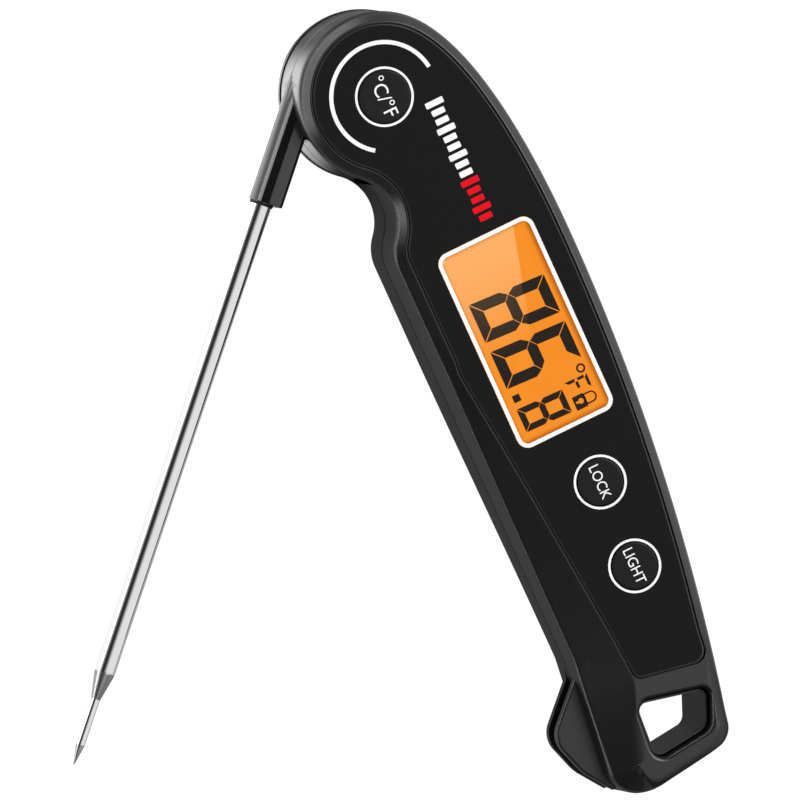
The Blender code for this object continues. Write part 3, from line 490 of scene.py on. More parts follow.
# ------------------------------------------------------------------ materials
class Tree:
    """Small builder for a node tree."""

    def __init__(self, tree):
        self.tree = tree

    def add(self, kind, **settings):
        node = self.tree.nodes.new(kind)
        for key, value in settings.items():
            setattr(node, key, value)
        return node

    def link(self, a, b):
        self.tree.links.new(a, b)

    def put(self, sockets, values):
        """Gives each socket its value: another socket, a number or a colour."""
        for socket, value in zip(sockets, values):
            if isinstance(value, bpy.types.NodeSocket):
                self.link(value, socket)
            else:
                socket.default_value = (*value, 1.0) if isinstance(value, tuple) else value

    def math(self, operation, a, b=0.0):
        node = self.add("ShaderNodeMath", operation=operation)
        self.put(node.inputs, (a, b))
        return node.outputs[0]

    def span(self, value, a, b, lo=0.0, hi=1.0, smooth=False):
        """Value mapped from a..b to lo..hi and kept inside it."""
        node = self.add("ShaderNodeMapRange", clamp=True)
        if smooth:
            node.interpolation_type = "SMOOTHSTEP"
        self.put(node.inputs, (value, a, b, lo, hi))
        return node.outputs[0]

    def axes(self, place):
        node = self.add("ShaderNodeSeparateXYZ")
        self.link(place, node.inputs[0])
        return node.outputs


class Nodes(Tree):
    """A material's node tree, working in millimetres."""

    def __init__(self, name, turn=0.0):
        self.mat = bpy.data.materials.new(name)
        self.mat.use_nodes = True
        super().__init__(self.mat.node_tree)
        self.shader = self.tree.nodes["Principled BSDF"]
        coord = self.add("ShaderNodeTexCoord")
        scale = self.add("ShaderNodeMapping")
        scale.inputs["Scale"].default_value = (1 / MM,) * 3
        scale.inputs["Rotation"].default_value = (0.0, 0.0, math.radians(turn))
        self.link(coord.outputs["Object"], scale.inputs["Vector"])
        self.place = scale.outputs["Vector"]

    def xyz(self):
        return self.axes(self.place)

    def noise(self, scale, detail=3.0, stretch=None, rough=0.5):
        where = self.place
        if stretch:
            m = self.add("ShaderNodeMapping")
            m.inputs["Scale"].default_value = stretch
            self.link(where, m.inputs["Vector"])
            where = m.outputs["Vector"]
        node = self.add("ShaderNodeTexNoise")
        node.inputs["Scale"].default_value = scale
        node.inputs["Detail"].default_value = detail
        node.inputs["Roughness"].default_value = rough
        self.link(where, node.inputs["Vector"])
        return node.outputs["Fac"]

    def mix(self, factor, a, b):
        """Colour between a and b."""
        node = self.add("ShaderNodeMix", data_type="RGBA")
        self.put((node.inputs[0], node.inputs[6], node.inputs[7]), (factor, a, b))
        return node.outputs[2]

    def bump(self, height, depth):
        """Surface relief, depth in millimetres."""
        node = self.add("ShaderNodeBump")
        node.inputs["Distance"].default_value = depth * MM
        self.link(height, node.inputs["Height"])
        self.link(node.outputs["Normal"], self.shader.inputs["Normal"])

    def set(self, **values):
        """Sets the shader's inputs, named with _ for a space."""
        self.put([self.shader.inputs[key.replace("_", " ")] for key in values], values.values())


def shade(colour, k):
    return tuple(min(1.0, c * k) for c in colour)


def plain(name, colour, rough, metal=0.0, spec=0.5, grain=4.0, depth=0.01, vary=0.12,
          stretch=None, turn=0.0, spread=0.06):
    """Moulded or metal finish with fine grain, slow colour change and uneven roughness."""
    m = Nodes(name, turn)
    slow = m.noise(0.12, 3.0)
    fine = m.noise(grain, 4.0, stretch, 0.55)
    tone = m.span(m.math("ADD", m.math("MULTIPLY", slow, 0.6), m.math("MULTIPLY", fine, 0.4)), 0.3, 0.7)
    m.set(Base_Color=m.mix(tone, shade(colour, 1 - vary), shade(colour, 1 + vary)),
          Roughness=m.span(fine, 0.3, 0.7, max(0.02, rough - spread), rough + spread),
          Metallic=metal, Specular_IOR_Level=spec)
    m.bump(fine, depth)
    return m.mat


def painted_glare_wedge(m, x, y, start):
    """Painted glare, 0 to 1: a paler wedge at the head end of the display, left of a slanted line, standing
    in for a reflection on the window.
    """
    slant = m.math("SUBTRACT", x, m.math("ADD", start, m.math("MULTIPLY", y, 0.27)))
    return m.math("MULTIPLY", m.span(slant, 0.12, -0.12), m.span(y, -54.0, -33.0, smooth=True))


def screen_material():
    """Backlit amber glass: bright in the middle, with painted shade under the frame and a painted glare,
    standing in for a reflection, at one end.
    """
    m = Nodes("amber_glow")
    x, y, _ = m.xyz()
    x0, x1, y0, y1 = WINDOW
    frame_w = 0.75
    inside = []
    for v, a, b in ((x, x0, x1), (y, y0, y1)):
        away = m.math("ABSOLUTE", m.math("SUBTRACT", v, (a + b) / 2))
        inside.append(m.math("SUBTRACT", (b - a) / 2 - frame_w, away))
    # painted shade mask: 0 under the frame, 1 in the open middle
    edge = m.span(m.math("MINIMUM", *inside), -0.15, 0.95, smooth=True)
    cloud = m.noise(0.25, 2.0)
    glow = m.mix(m.span(cloud, 0.35, 0.65), (0.9, 0.262, 0.014), (0.93, 0.275, 0.018))
    # painted glare: the glow turns paler in a wedge at the head end, standing in for a reflection
    glow = m.mix(m.math("MULTIPLY", painted_glare_wedge(m, x, y, 20.3), 0.9), glow, (0.98, 0.43, 0.13))
    # painted shade: darker amber where the frame shades the glass
    glow = m.mix(edge, (0.5, 0.125, 0.006), glow)
    m.set(Base_Color=(0.03, 0.009, 0.001), Roughness=m.span(m.noise(3.0), 0.3, 0.7, 0.24, 0.32),
          Emission_Color=glow, Emission_Strength=1.0, Specular_IOR_Level=0.05)
    return m.mat


def pane_material():
    """Clear window with a painted glare: a pale wedge at the head end that stands in for a reflection."""
    m = Nodes("window_clear")
    x, y, _ = m.xyz()
    # painted glare: the wedge makes the pane paler and less clear, standing in for a reflection
    painted_glare = painted_glare_wedge(m, x, y, 19.8)
    scuff = m.noise(6.0, 2.0, (1.0, 0.05, 1.0))
    m.set(Base_Color=(1.0, 0.62, 0.3), Roughness=m.span(scuff, 0.3, 0.7, 0.05, 0.1),
          Alpha=m.math("ADD", 0.004, m.math("MULTIPLY", painted_glare, 0.035)), Specular_IOR_Level=0.1)
    m.mat.surface_render_method = "BLENDED"
    return m.mat


def board_material(name, colour):
    """Solder mask with copper runs that show through as paler lines, and small bright pads."""
    m = Nodes(name)
    x, y, _ = m.xyz()
    runs = []
    for axis, step in ((x, 1.27), (y, 2.54)):
        wave = m.math("ABSOLUTE", m.math("SUBTRACT", m.math("FRACT", m.math("DIVIDE", axis, step)), 0.5))
        runs.append(m.span(wave, 0.1, 0.13, 1.0, 0.0))
    both = m.math("MULTIPLY", runs[0], runs[1])
    cells = m.noise(0.35, 0.0)
    lines = m.math("MULTIPLY", m.math("MAXIMUM", runs[0], runs[1]), m.span(cells, 0.49, 0.51))
    base = m.mix(m.math("MULTIPLY", lines, 0.5), colour, shade(colour, 2.2))
    base = m.mix(m.math("MULTIPLY", both, m.span(cells, 0.55, 0.56)), base, (0.55, 0.5, 0.42))
    m.set(Base_Color=base, Roughness=m.span(m.noise(3.0), 0.3, 0.7, 0.28, 0.42))
    m.bump(lines, 0.03)
    return m.mat


MATS = {
    "shell": plain("shell_black", (0.0065, 0.0065, 0.0068), 0.31, grain=3.6, depth=0.004, spec=0.5),
    "panel": plain("panel_black", (0.0045, 0.0045, 0.005), 0.2, grain=1.2, depth=0.001, spec=0.12,
                   vary=0.05, spread=0.04),
    # painted highlight: a paler, glossier copy of the panel's black for its chamfered edge
    "panel_edge_highlight": plain("panel_edge_highlight", (0.05, 0.045, 0.047), 0.16, grain=2.0, depth=0.002, spec=0.8),
    "key": plain("key_black", (0.0075, 0.0075, 0.0078), 0.34, grain=3.0, depth=0.004, spec=0.12),
    "print": plain("print_white", (0.95, 0.95, 0.94), 0.5, grain=5.0, depth=0.002, vary=0.03, spec=0.3),
    "print_red": plain("print_red", (0.78, 0.004, 0.012), 0.5, grain=5.0, depth=0.002, vary=0.05, spec=0.05),
    "arm": plain("arm_black", (0.0035, 0.0035, 0.0037), 0.22, grain=3.0, depth=0.0012, spec=0.8),
    "tube": plain("steel_polished", (0.86, 0.86, 0.87), 0.1, 1.0, grain=3.0, depth=0.0012, vary=0.02,
                  stretch=(6.0, 0.06, 6.0), turn=REST_OPEN_DEG, spread=0.03),
    "tip": plain("steel_ground", (0.34, 0.34, 0.345), 0.3, 1.0, grain=3.0, depth=0.004, vary=0.1,
                 stretch=(0.3, 9.0, 0.3), turn=REST_OPEN_DEG),
    "steel": plain("steel_plated", (0.62, 0.62, 0.64), 0.26, 1.0, grain=2.5, depth=0.004, vary=0.08),
    "brass": plain("brass", (0.72, 0.5, 0.2), 0.28, 1.0, grain=3.0, depth=0.004),
    "rubber": plain("rubber_black", (0.022, 0.022, 0.023), 0.72, grain=2.6, depth=0.02, spec=0.3),
    "rubber_grey": plain("rubber_grey", (0.12, 0.12, 0.125), 0.75, grain=2.6, depth=0.02, spec=0.3),
    "guide": plain("guide_amber", (0.9, 0.42, 0.07), 0.3, grain=2.0, depth=0.004),
    "holder": plain("holder_white", (0.8, 0.8, 0.77), 0.5, grain=3.0, depth=0.01),
    "flex": plain("flex_amber", (0.62, 0.27, 0.04), 0.35, grain=2.0, depth=0.004, stretch=(6.0, 0.2, 1.0)),
    "chip": plain("chip_black", (0.025, 0.025, 0.027), 0.5, grain=8.0, depth=0.01),
    "led": plain("led_yellow", (0.9, 0.72, 0.3), 0.3, grain=4.0, depth=0.005),
    "label": plain("label_grey", (0.42, 0.43, 0.44), 0.42, 0.3, grain=5.0, depth=0.003, vary=0.05,
                   stretch=(0.1, 3.0, 1.0)),
    "acetal": plain("acetal_white", (0.78, 0.77, 0.72), 0.42, grain=2.0, depth=0.01),
    "wire": plain("wire_white", (0.75, 0.74, 0.68), 0.45, grain=3.0, depth=0.01),
    "bead": plain("bead_brown", (0.25, 0.09, 0.03), 0.35, grain=3.0, depth=0.02),
    "ink": plain("display_ink", (0.006, 0.004, 0.003), 0.45, grain=6.0, depth=0.001, spec=0.1),
    "glow": screen_material(),
    "pane": pane_material(),
    "board": board_material("board_green", (0.012, 0.11, 0.045)),
}


# ------------------------------------------------------------------ shells
def wall_loft(name, body, rings):
    """Solid whose rings hold one (inward shift, height) pair for each point of the outline."""
    normals = inward(body)
    return loft(name, [[(p[0] + n[0] * d, p[1] + n[1] * d, z) for p, n, (d, z) in zip(body, normals, ring)]
                       for ring in rings])


def sweep_cut(name, z0, z1):
    outer = arc(0, 0, 26.0, SWEEP_FROM, SWEEP_TO, 40)
    inner = arc(0, 0, 14.0, SWEEP_TO, SWEEP_FROM, 40)
    return prism(name, outer + inner, z0, z1)


def guard_half(shell, tag, z0, z1, top, low):
    """One fin of the side lobe that shields the folded probe's point, and the slot between the fins."""
    add(shell, soft_prism(tag + "_guard", guard_outline(), z0, z1, top, low))
    cut(shell, box(tag + "_guard_slot", -30.0, WALL_X - 0.2, -140.0, -107.0, *GUARD_SLOT))


def guard_outline():
    """Outline of the side lobe, counter-clockwise, its root inside the handle's wall."""
    back = WALL_X + 1.05
    tip, low, end = (-19.3, -118.1), (-16.8, -125.6), (-13.0, -131.6)
    root = fillet((-9.6, -100.0), (-10.3, -109.1), tip, 5.0, 16)
    crown = fillet(root[-1], tip, low, 4.5, 28)
    belly = fillet(crown[-1], low, end, 9.0, 10)
    return joined([(back, -104.0)], root, crown, belly, [(-13.0, -131.0), (back, -131.0)])


def bend(p0, p1, p2, n):
    """Quadratic curve from p0 to p2 that leans to p1, both ends included."""
    return [tuple((1 - t) ** 2 * p0[k] + 2 * t * (1 - t) * p1[k] + t * t * p2[k] for k in (0, 1))
            for t in (i / n for i in range(n + 1))]


def front_shell():
    body = body_outline()
    profiles = []
    for p in body:
        fall, w = 0.86 * bezel_drop(p), bezel_width(p)
        low_end = ramp((-117.5 - p[1]) / 4.0)
        apex = (0.0, BODY_T - fall)
        crest = (w, BODY_T)
        along = math.hypot(w, fall)
        f = min(0.85, 0.4 * along)
        g = min(0.16 + 1.6 * low_end, 0.8 * along)
        a = (0.0, apex[1] - f)
        b = (w * f / along, apex[1] + fall * f / along)
        c = (w * (1 - g / along), BODY_T - fall * g / along)
        e = (w + min(g, 0.2 + 1.1 * low_end), BODY_T)
        lip = [(depth, SPLIT_Z + SPLIT_GAP + rise) for depth, rise in reversed(SEAM)]
        profiles.append(lip + bend(a, apex, b, 6) + bend(c, crest, e, 7))
    shell = wall_loft("front_shell_skin", body, zip(*profiles))
    bay = bay_outline()
    cut(shell, prism("front_bay", bay, 8.0, DECK_BOTTOM),
        turned("front_hub", [(0, HUB_BAY_Z1), (14.9, HUB_BAY_Z1), (15.22, HUB_BAY_Z1 + 0.2),
                             (HUB_BAY_R, HUB_BAY_Z1 + 0.2), (HUB_BAY_R, 8.0), (0, 8.0)]),
        disc("front_cup", 0, 0, 11.8, 12.0, DECK_BOTTOM),
        box("front_flex", -2.3, 2.3, -20.0, -10.0, 15.0, DECK_BOTTOM - 0.05),
        sweep_cut("front_sweep", 8.0, HUB_BAY_Z1))
    cut(shell, prism("panel_recess", panel_outline(PANEL_GAP), DECK_TOP, ABOVE))
    glass = (WINDOW[0] - 0.5, WINDOW[1] + 0.5, WINDOW[2] - 0.6, WINDOW[3] + 0.6)
    cut(shell, prism("display_hole", rounded_box(*glass, 1.5), 16.0, 20.0))
    for name, ((x, y), r) in KEYS.items():
        cut(shell, disc(name + "_deck", x, y, r + KEY_FLANGE + 0.3, 16.0, 20.0))
    guard_half(shell, "front", GUARD_SLOT[1], 14.0, 0.55, 0.25)
    for i, (x, y) in enumerate(SCREWS):
        add(shell, disc("front_post_%d" % i, x, y, 2.35, SPLIT_Z + SPLIT_GAP, 18.0, 32))
        cut(shell, disc("front_pilot_%d" % i, x, y, 0.95, 8.0, 16.2, 24))
    loop = rounded_polygon(LOOP)
    r = LOOP_FLARE_FRONT
    turns = [math.radians(15 * i) for i in range(1, 7)]
    flare = [(0.0, 8.0), (0.0, BODY_T - r)]
    flare += [(-r * (1 - math.cos(a)), BODY_T - r + r * math.sin(a)) for a in turns]
    cut(shell, stepped("front_loop", loop, flare + [(-r, ABOVE)]))
    cut(shell, band("front_seal_groove", inset(bay, -1.25), inset(bay, -0.2), 9.6, 10.6))
    carve(shell)
    return place(shell, MATS["shell"], "handle", "shell_black", ["front_shell"], 36.0)


def rear_shell():
    body = body_outline()
    radii = [back_round(p) for p in body]
    turns = [math.radians(90.0 * k / 8) for k in range(8, -1, -1)]
    rings = [[(r * (1 - math.cos(a)), r * (1 - math.sin(a))) for r in radii] for a in turns]
    rings += [[(depth, SPLIT_Z - SPLIT_GAP - rise)] * len(body) for depth, rise in SEAM]
    shell = wall_loft("rear_shell_skin", body, rings)
    bay = bay_outline()
    cut(shell, prism("rear_bay", bay, BACK_T, 12.0),
        turned("rear_hub", [(0, 12.0), (HUB_BAY_R, 12.0), (HUB_BAY_R, HUB_BAY_Z0 - 0.2),
                            (15.22, HUB_BAY_Z0 - 0.2), (14.9, HUB_BAY_Z0), (0, HUB_BAY_Z0)]),
        sweep_cut("rear_sweep", HUB_BAY_Z0, 12.0))
    add(shell, turned("rear_pad", [(11.6, 6.0), (11.6, 3.0), (7.9, 3.0), (7.9, 6.0)]),
        turned("rear_boss", [(BOSS_R, 13.85), (BOSS_R, 3.0), (BOSS_BORE_R, 3.0), (BOSS_BORE_R, 13.85)]))
    cut(shell, box("boss_window", 1.0, 5.0, -0.9, 0.9, 9.0, 11.0))
    guard_half(shell, "rear", 6.0, GUARD_SLOT[0], 0.25, 0.55)
    loop = rounded_polygon(LOOP)
    add(shell, prism("rear_collar", loop, 1.0, 9.0),
        soft_prism("rear_lip", inset(loop, 0.15), 5.0, 17.3, 0.2))
    r = LOOP_FLARE_REAR
    turns = [math.radians(18 * i) for i in range(6)]
    flare = [(-r, BELOW)] + [(-r + r * math.sin(a), r - r * math.cos(a)) for a in turns]
    cut(shell, stepped("rear_loop", inset(loop, 0.65), flare + [(0.0, ABOVE)]))
    seat = (DOOR[0] - 0.2, DOOR[1] + 0.2, DOOR[2] - 0.2, DOOR[3] + 0.2)
    rim = rounded_box(seat[0] - 1.2, seat[1] + 1.2, seat[2] - 1.2, seat[3] + 1.2, 2.4)
    add(shell, prism("door_rim", rim, 1.0, 3.2))
    for y0, y1, tag in ((-54.0, -52.6, "upper"), (-104.5, -103.2, "lower")):
        add(shell, box("cell_wall_" + tag, -3.4, 10.4, y0, y1, 1.5, 9.6))
    add(shell, disc("door_boss", DOOR_SCREW[0], DOOR_SCREW[1], 3.3, 1.5, 9.0, 48),
        turned("magnet_ring", [(6.4, 4.4), (6.4, 1.5), (5.2, 1.5), (5.2, 4.4)], *MAGNET, 48))
    for i, (x, y) in enumerate(SCREWS):
        add(shell, disc("rear_post_%d" % i, x, y, 2.5, 1.2, SPLIT_Z - SPLIT_GAP, 32))
        cut(shell, disc("rear_screw_%d" % i, x, y, 1.15, -1.0, 12.0, 32),
            turned("rear_head_%d" % i, [(0, 4.0), (1.95, 4.0), (1.95, 0.2), (2.15, 0.0), (2.15, -1.0),
                                        (0, -1.0)], x, y, 40))
    cut(shell, prism("door_seat", rounded_box(*seat, 1.6), -1.0, 1.8),
        box("door_opening", -2.7, 9.7, -103.2, -54.0, -1.0, 5.0),
        disc("door_insert", DOOR_SCREW[0], DOOR_SCREW[1], 2.1, 1.0, 8.2, 40),
        prism("label_recess", rounded_box(-3.2, 11.2, -46.2, -25.8, 2.0), -1.0, 0.45),
        band("rear_seal_groove", inset(bay, -1.25), inset(bay, -0.2), 9.4, 10.4))
    carve(shell)
    return place(shell, MATS["shell"], "handle", "shell_black", ["rear_shell"], 36.0)


# ------------------------------------------------------------------ face
PANEL_TOP = 19.955
PRINT_LOW, PRINT_TOP = 19.945, 19.985
RING_W = 0.42
SWEEP_MARK = (8, 235)                    # degrees, the printed arc round the unit key
TICKS_X, TICKS_Y, TICK_STEP = 7.8, -4.9, 1.72
TICK_HALF_LONG, TICK_HALF_SHORT = 1.75, 1.26


def face_panel():
    outline = panel_outline(0.0)
    rings = [(0.0, BODY_T - PANEL_T), (0.0, PANEL_TOP - 0.26), (0.035, PANEL_TOP - 0.2),
             (0.26, PANEL_TOP - 0.035), (0.32, PANEL_TOP)]
    panel = stepped("face_panel_lens", outline, rings)
    cut(panel, prism("window_hole", rounded_box(*WINDOW, WINDOW_R), 18.0, 22.0))
    for name, ((x, y), r) in KEYS.items():
        r += KEY_GAP
        cut(panel, turned(name + "_panel_hole", [(0, 22.0), (r + 0.1, 22.0), (r + 0.1, PANEL_TOP),
                                                 (r, PANEL_TOP - 0.1), (r, 18.0), (0, 18.0)], x, y, 160))
    carve(panel)
    place(panel, MATS["panel"], "handle", "panel_black", ["face_panel"], 25.0)
    # painted highlight: the chamfer faces round the panel take the paler edge material
    panel.data.materials.append(MATS["panel_edge_highlight"])
    for face in panel.data.polygons:
        z = face.center.z / MM
        if 0.2 < face.normal.z < 0.97 and PANEL_TOP - 0.22 < z < PANEL_TOP - 0.01:
            face.material_index = 1
    return panel


def display_parts():
    x0, x1, y0, y1 = WINDOW
    g = 0.12
    pane = soft_prism("display_pane", rounded_box(x0 + g, x1 - g, y0 + g, y1 - g, WINDOW_R - g),
                      BODY_T - PANEL_T, PANEL_TOP - 0.015, 0.05, 0.0, 2)
    place(pane, MATS["pane"], "handle", "window_clear", ["display_window"])
    outer = rounded_box(x0 + 0.06, x1 - 0.06, y0 + 0.06, y1 - 0.06, WINDOW_R - 0.06, 20)
    place(band("window_frame_print", outer, inset(outer, 0.74), PRINT_LOW, PRINT_TOP), MATS["print"],
          "handle", weighted=False)
    glass = soft_prism("display_glass", rounded_box(x0 - 0.25, x1 + 0.25, y0 - 0.35, y1 + 0.35, 1.6),
                       17.45, 18.6, 0.08, 0.08, 2)
    place(glass, MATS["glow"], "handle", "display_amber", ["lcd_glass"])


def wound(points):
    """The points in counter-clockwise order."""
    area = sum(a[0] * b[1] - b[0] * a[1] for a, b in zip(points, points[1:] + points[:1]))
    return points if area > 0 else points[::-1]


def digit(tag, x0, y0, height, width, stroke, lean, lit, z0, z1, gap=0.1):
    """Seven-bar digit whose top points along +X and that is read along -Y."""
    h, w, t, g = height, width, stroke, gap
    m, k = h / 2, stroke * 0.42
    bars = {
        "a": [(h, g), (h, w - g), (h - t, w - t - g), (h - t, t + g)],
        "d": [(0, g), (t, t + g), (t, w - t - g), (0, w - g)],
        "g": [(m, k + g), (m + t / 2, t + g), (m + t / 2, w - t - g), (m, w - k - g),
              (m - t / 2, w - t - g), (m - t / 2, t + g)],
        "e": [(g * 1.4, 0), (m - t / 2 - k / 2, 0), (m - g, k + g / 4), (m - t / 2 - g / 2, t),
              (t + g * 1.4, t)],
    }
    bars["f"] = [(h - p, q) for p, q in bars["e"]]
    bars["c"] = [(p, w - q) for p, q in bars["e"]]
    bars["b"] = [(h - p, w - q) for p, q in bars["e"]]
    return [prism(tag + key, wound([(x0 + p, y0 - q - lean * p) for p, q in bars[key]]), z0, z1)
            for key in lit]


def display_marks():
    z0, z1 = 18.58, 18.66
    marks = digit("tens_", -1.5, -40.45, 14.8, 7.45, 2.0, 0.055, "abcdefg", z0, z1)
    marks += digit("ones_", -1.45, -49.75, 14.8, 7.3, 2.0, 0.05, "acdefg", z0, z1)
    marks += digit("tenths_", -1.4, -61.1, 9.1, 4.45, 1.15, 0.03, "abcdefg", z0, z1, 0.07)
    marks.append(box("point", -1.2, 0.2, -59.95, -58.6, z0, z1))
    marks.append(band("degree", circle(12.4, -59.4, 0.85, 48), circle(12.4, -59.4, 0.52, 48), z0, z1))
    bars = ([(12.95, -60.6), (12.95, -62.9), (12.7, -63.0), (12.4, -62.6), (12.4, -61.2)],
            [(12.3, -60.6), (12.3, -61.2), (11.1, -61.2), (10.9, -60.75)],
            [(10.95, -61.25), (10.95, -62.3), (10.7, -62.6), (10.4, -62.3), (10.4, -61.25)],
            [(10.6, -60.65), (10.3, -61.2), (9.2, -61.2), (8.5, -60.6)])
    marks += [prism("unit_bar_%d" % i, wound(points), z0, z1) for i, points in enumerate(bars)]
    lock = prism("lock_body", rounded_box(8.65, 10.85, -66.1, -63.55, 0.12, 4), z0, z1)
    cut(lock, disc("keyhole", 10.0, -64.75, 0.52, 18.0, 19.0, 32),
        box("keyway", 9.0, 10.0, -64.95, -64.55, 18.0, 19.0))
    marks.append(carve(lock))
    outer = rounded_polygon(((10.7, -65.85, 0.02), (13.05, -65.85, 1.04), (13.05, -63.75, 1.04),
                             (10.7, -63.75, 0.02)), 12)
    marks.append(band("lock_bow", outer, inset(outer, 0.28), z0, z1))
    place(group("display_marks", marks), MATS["ink"], "handle", weighted=False)


def lettering(name, body, size, x, y, z0, z1, mat, rides, width=1.0):
    """Plain function legend, its top toward +X."""
    curve = bpy.data.curves.new(name, "FONT")
    curve.body = body
    curve.size = size
    curve.align_x = "CENTER"
    curve.align_y = "CENTER"
    curve.extrude = (z1 - z0) / 2
    curve.resolution_u = 6
    text = bpy.data.objects.new(name + "_text", curve)
    bpy.context.scene.collection.objects.link(text)
    bpy.context.view_layer.update()
    mesh = bpy.data.meshes.new_from_object(text.evaluated_get(bpy.context.evaluated_depsgraph_get()))
    bpy.data.objects.remove(text)
    lo = [min(v.co[k] for v in mesh.vertices) for k in (0, 1)]
    hi = [max(v.co[k] for v in mesh.vertices) for k in (0, 1)]
    centre = Vector(((lo[0] + hi[0]) / 2, (lo[1] + hi[1]) / 2, 0))
    mesh.transform(Matrix.Translation(-centre))
    mesh.transform(Matrix.Diagonal((width, 1.0, 1.0, 1.0)))
    mesh.transform(Matrix.Rotation(-math.pi / 2, 4, "Z"))
    mesh.transform(Matrix.Translation((x, y, (z0 + z1) / 2)))
    mesh.transform(Matrix.Scale(MM, 4))
    obj = bpy.data.objects.new(name, mesh)
    bpy.context.scene.collection.objects.link(obj)
    return place(obj, mat, rides, weighted=False)


def key_caps():
    legends = {"unit": ("°C/°F", 3.7, 0.93), "lock": ("LOCK", 2.75, 0.88), "light": ("LIGHT", 2.75, 0.88)}
    for name, ((x, y), r) in KEYS.items():
        low = 17.6 if name == "unit" else 17.4
        foot = 17.35 if name == "unit" else 15.15
        profile = [(0, 19.9), (r * 0.4, 19.902), (r * 0.7, 19.91), (r - 0.3, 19.93), (r - 0.14, 19.925),
                   (r - 0.04, 19.88), (r, 19.78), (r, 18.7), (r + KEY_FLANGE, 18.7),
                   (r + KEY_FLANGE, low), (1.6, low), (1.6, foot), (0, foot)]
        cap = turned(name + "_key_cap", profile, x, y, 128)
        place(cap, MATS["key"], name + "_button", "key_black", [name + "_key"])
        word, size, width = legends[name]
        lettering(name + "_legend", word, size, x, y, 19.89, 19.94, MATS["print"], name + "_button", width)


def panel_prints():
    rings = []
    for name, ((x, y), r) in KEYS.items():
        r += KEY_GAP + 0.06
        rings.append(band(name + "_ring", circle(x, y, r + RING_W, 128), circle(x, y, r, 128),
                          PRINT_LOW, PRINT_TOP))
    sweep = arc(0, 0, 10.1, *SWEEP_MARK, 120) + arc(0, 0, 9.35, *SWEEP_MARK[::-1], 120)
    rings.append(prism("sweep_arc", sweep, PRINT_LOW, PRINT_TOP))
    place(group("ring_prints", rings), MATS["print"], "handle", weighted=False)
    for tag, first, count, mat in (("white", 0, 9, "print"), ("red", 9, 5, "print_red")):
        ticks = []
        for i in range(first, first + count):
            x, y = TICKS_X, TICKS_Y - TICK_STEP * i
            half = TICK_HALF_LONG if i % 3 == 0 else TICK_HALF_SHORT
            ticks.append(prism("tick_%d" % i, rounded_box(x - half, x + half, y - 0.55, y + 0.55, 0.2, 4),
                               PRINT_LOW, PRINT_TOP))
        place(group("scale_ticks_" + tag, ticks), MATS[mat], "handle", weighted=False)


# ------------------------------------------------------------------ hinge and probe
def arm_section(sign, grow):
    """Half of the arm's outline on one side of the parting plane, as (across, height)."""
    c = ARM_BACK_R - ARM_OUTER
    start = math.degrees(math.asin(ARM_CREASE[1] / ARM_BACK_R))
    gap = HUB_GAP
    end = math.degrees(math.asin((gap + 0.15) / ARM_BACK_R))
    crease = [(c + ARM_BACK_R * math.cos(math.radians(180 - a)), ARM_BACK_R * math.sin(math.radians(180 - a)))
              for a in [start + (end - start) * i / 16 for i in range(17)]]
    facet_o, facet_i = (ARM_FACET[0], ARM_HALF_T), (ARM_FACET[1], ARM_HALF_T)
    inner = ARM_INNER
    side = (ARM_INNER[0], gap + 0.15)
    pts = [(ARM_INNER[0] - 0.15, gap), side]
    pts += fillet(side, inner, facet_i, 0.12, 4)
    pts += fillet(inner, facet_i, facet_o, 0.12, 4)
    pts += fillet(facet_i, facet_o, crease[0], 0.15, 4)
    pts += fillet(facet_o, crease[0], crease[2], 0.12, 4)
    pts += crease[2:]
    pts.append((crease[-1][0] + 0.15, gap))
    if sign < 0:
        pts = [(u, -v) for u, v in pts[::-1]]
    flat = inset(pts, grow)
    edge = gap * sign
    return [(u, edge if abs(v - edge) < 1e-6 or (v - edge) * sign < 0 or abs(was[1] - edge) < 1e-6 else v)
            for (u, v), was in zip(flat, pts)]


def hub_half(name, sign):
    """Half of the drum with its half of the arm."""
    z = SPLIT_Z + HUB_GAP * sign
    rim = HUB_Z1 if sign > 0 else HUB_Z0
    web = HUB_WEB_Z1 if sign > 0 else HUB_WEB_Z0
    profile = [(HUB_RECESS_R, rim), (HUB_R - 0.3, rim), (HUB_R - 0.08, rim - 0.09 * sign),
               (HUB_R, rim - 0.3 * sign), (HUB_R, z + 0.15 * sign), (HUB_R - 0.15, z), (HUB_BORE_R, z),
               (HUB_BORE_R, web), (HUB_RECESS_R, web)]
    drum = turned(name, profile if sign > 0 else profile[::-1], steps=240)
    stations = ((0.5, 0.12), (1.5, 0.03), (2.5, 0.0), (8.0, 0.0), (16.0, 0.0), (ARM_END - 0.2, 0.0),
                (ARM_END - 0.1, 0.03), (ARM_END - 0.03, 0.09), (ARM_END, 0.18))
    rings = [[(u - PROBE_OFFSET, -s, SPLIT_Z + v) for u, v in arm_section(sign, g)] for s, g in stations]
    add(drum, loft(name + "_arm", rings))
    bore = turned_along(name + "_bore", [(0, 20), (TUBE_R + 0.08, 20), (TUBE_R + 0.08, 0), (0, 0)],
                        (-PROBE_OFFSET, -TUBE_START + 0.4, SPLIT_Z), (0, -1, 0), 48)
    x = -PROBE_OFFSET
    ring_z = 13.9 if sign > 0 else 6.1
    cut(drum, bore, box(name + "_lead", x - 0.7, x + 0.7, -10.5, 1.2, 9.2, 10.8),
        box(name + "_gate", x - 0.7, -7.4, -0.7, 0.7, 9.2, 10.8),
        turned(name + "_chamber", [(CHAMBER_R1, 11.6), (CHAMBER_R1, 8.4), (HUB_BORE_R - 0.5, 8.4),
                                   (HUB_BORE_R - 0.5, 11.6)]),
        turned(name + "_groove", [(10.6, ring_z + 1.1), (10.6, ring_z - 1.1), (9.4, ring_z - 1.1),
                                  (9.4, ring_z + 1.1)]))
    carve(drum)
    return drum


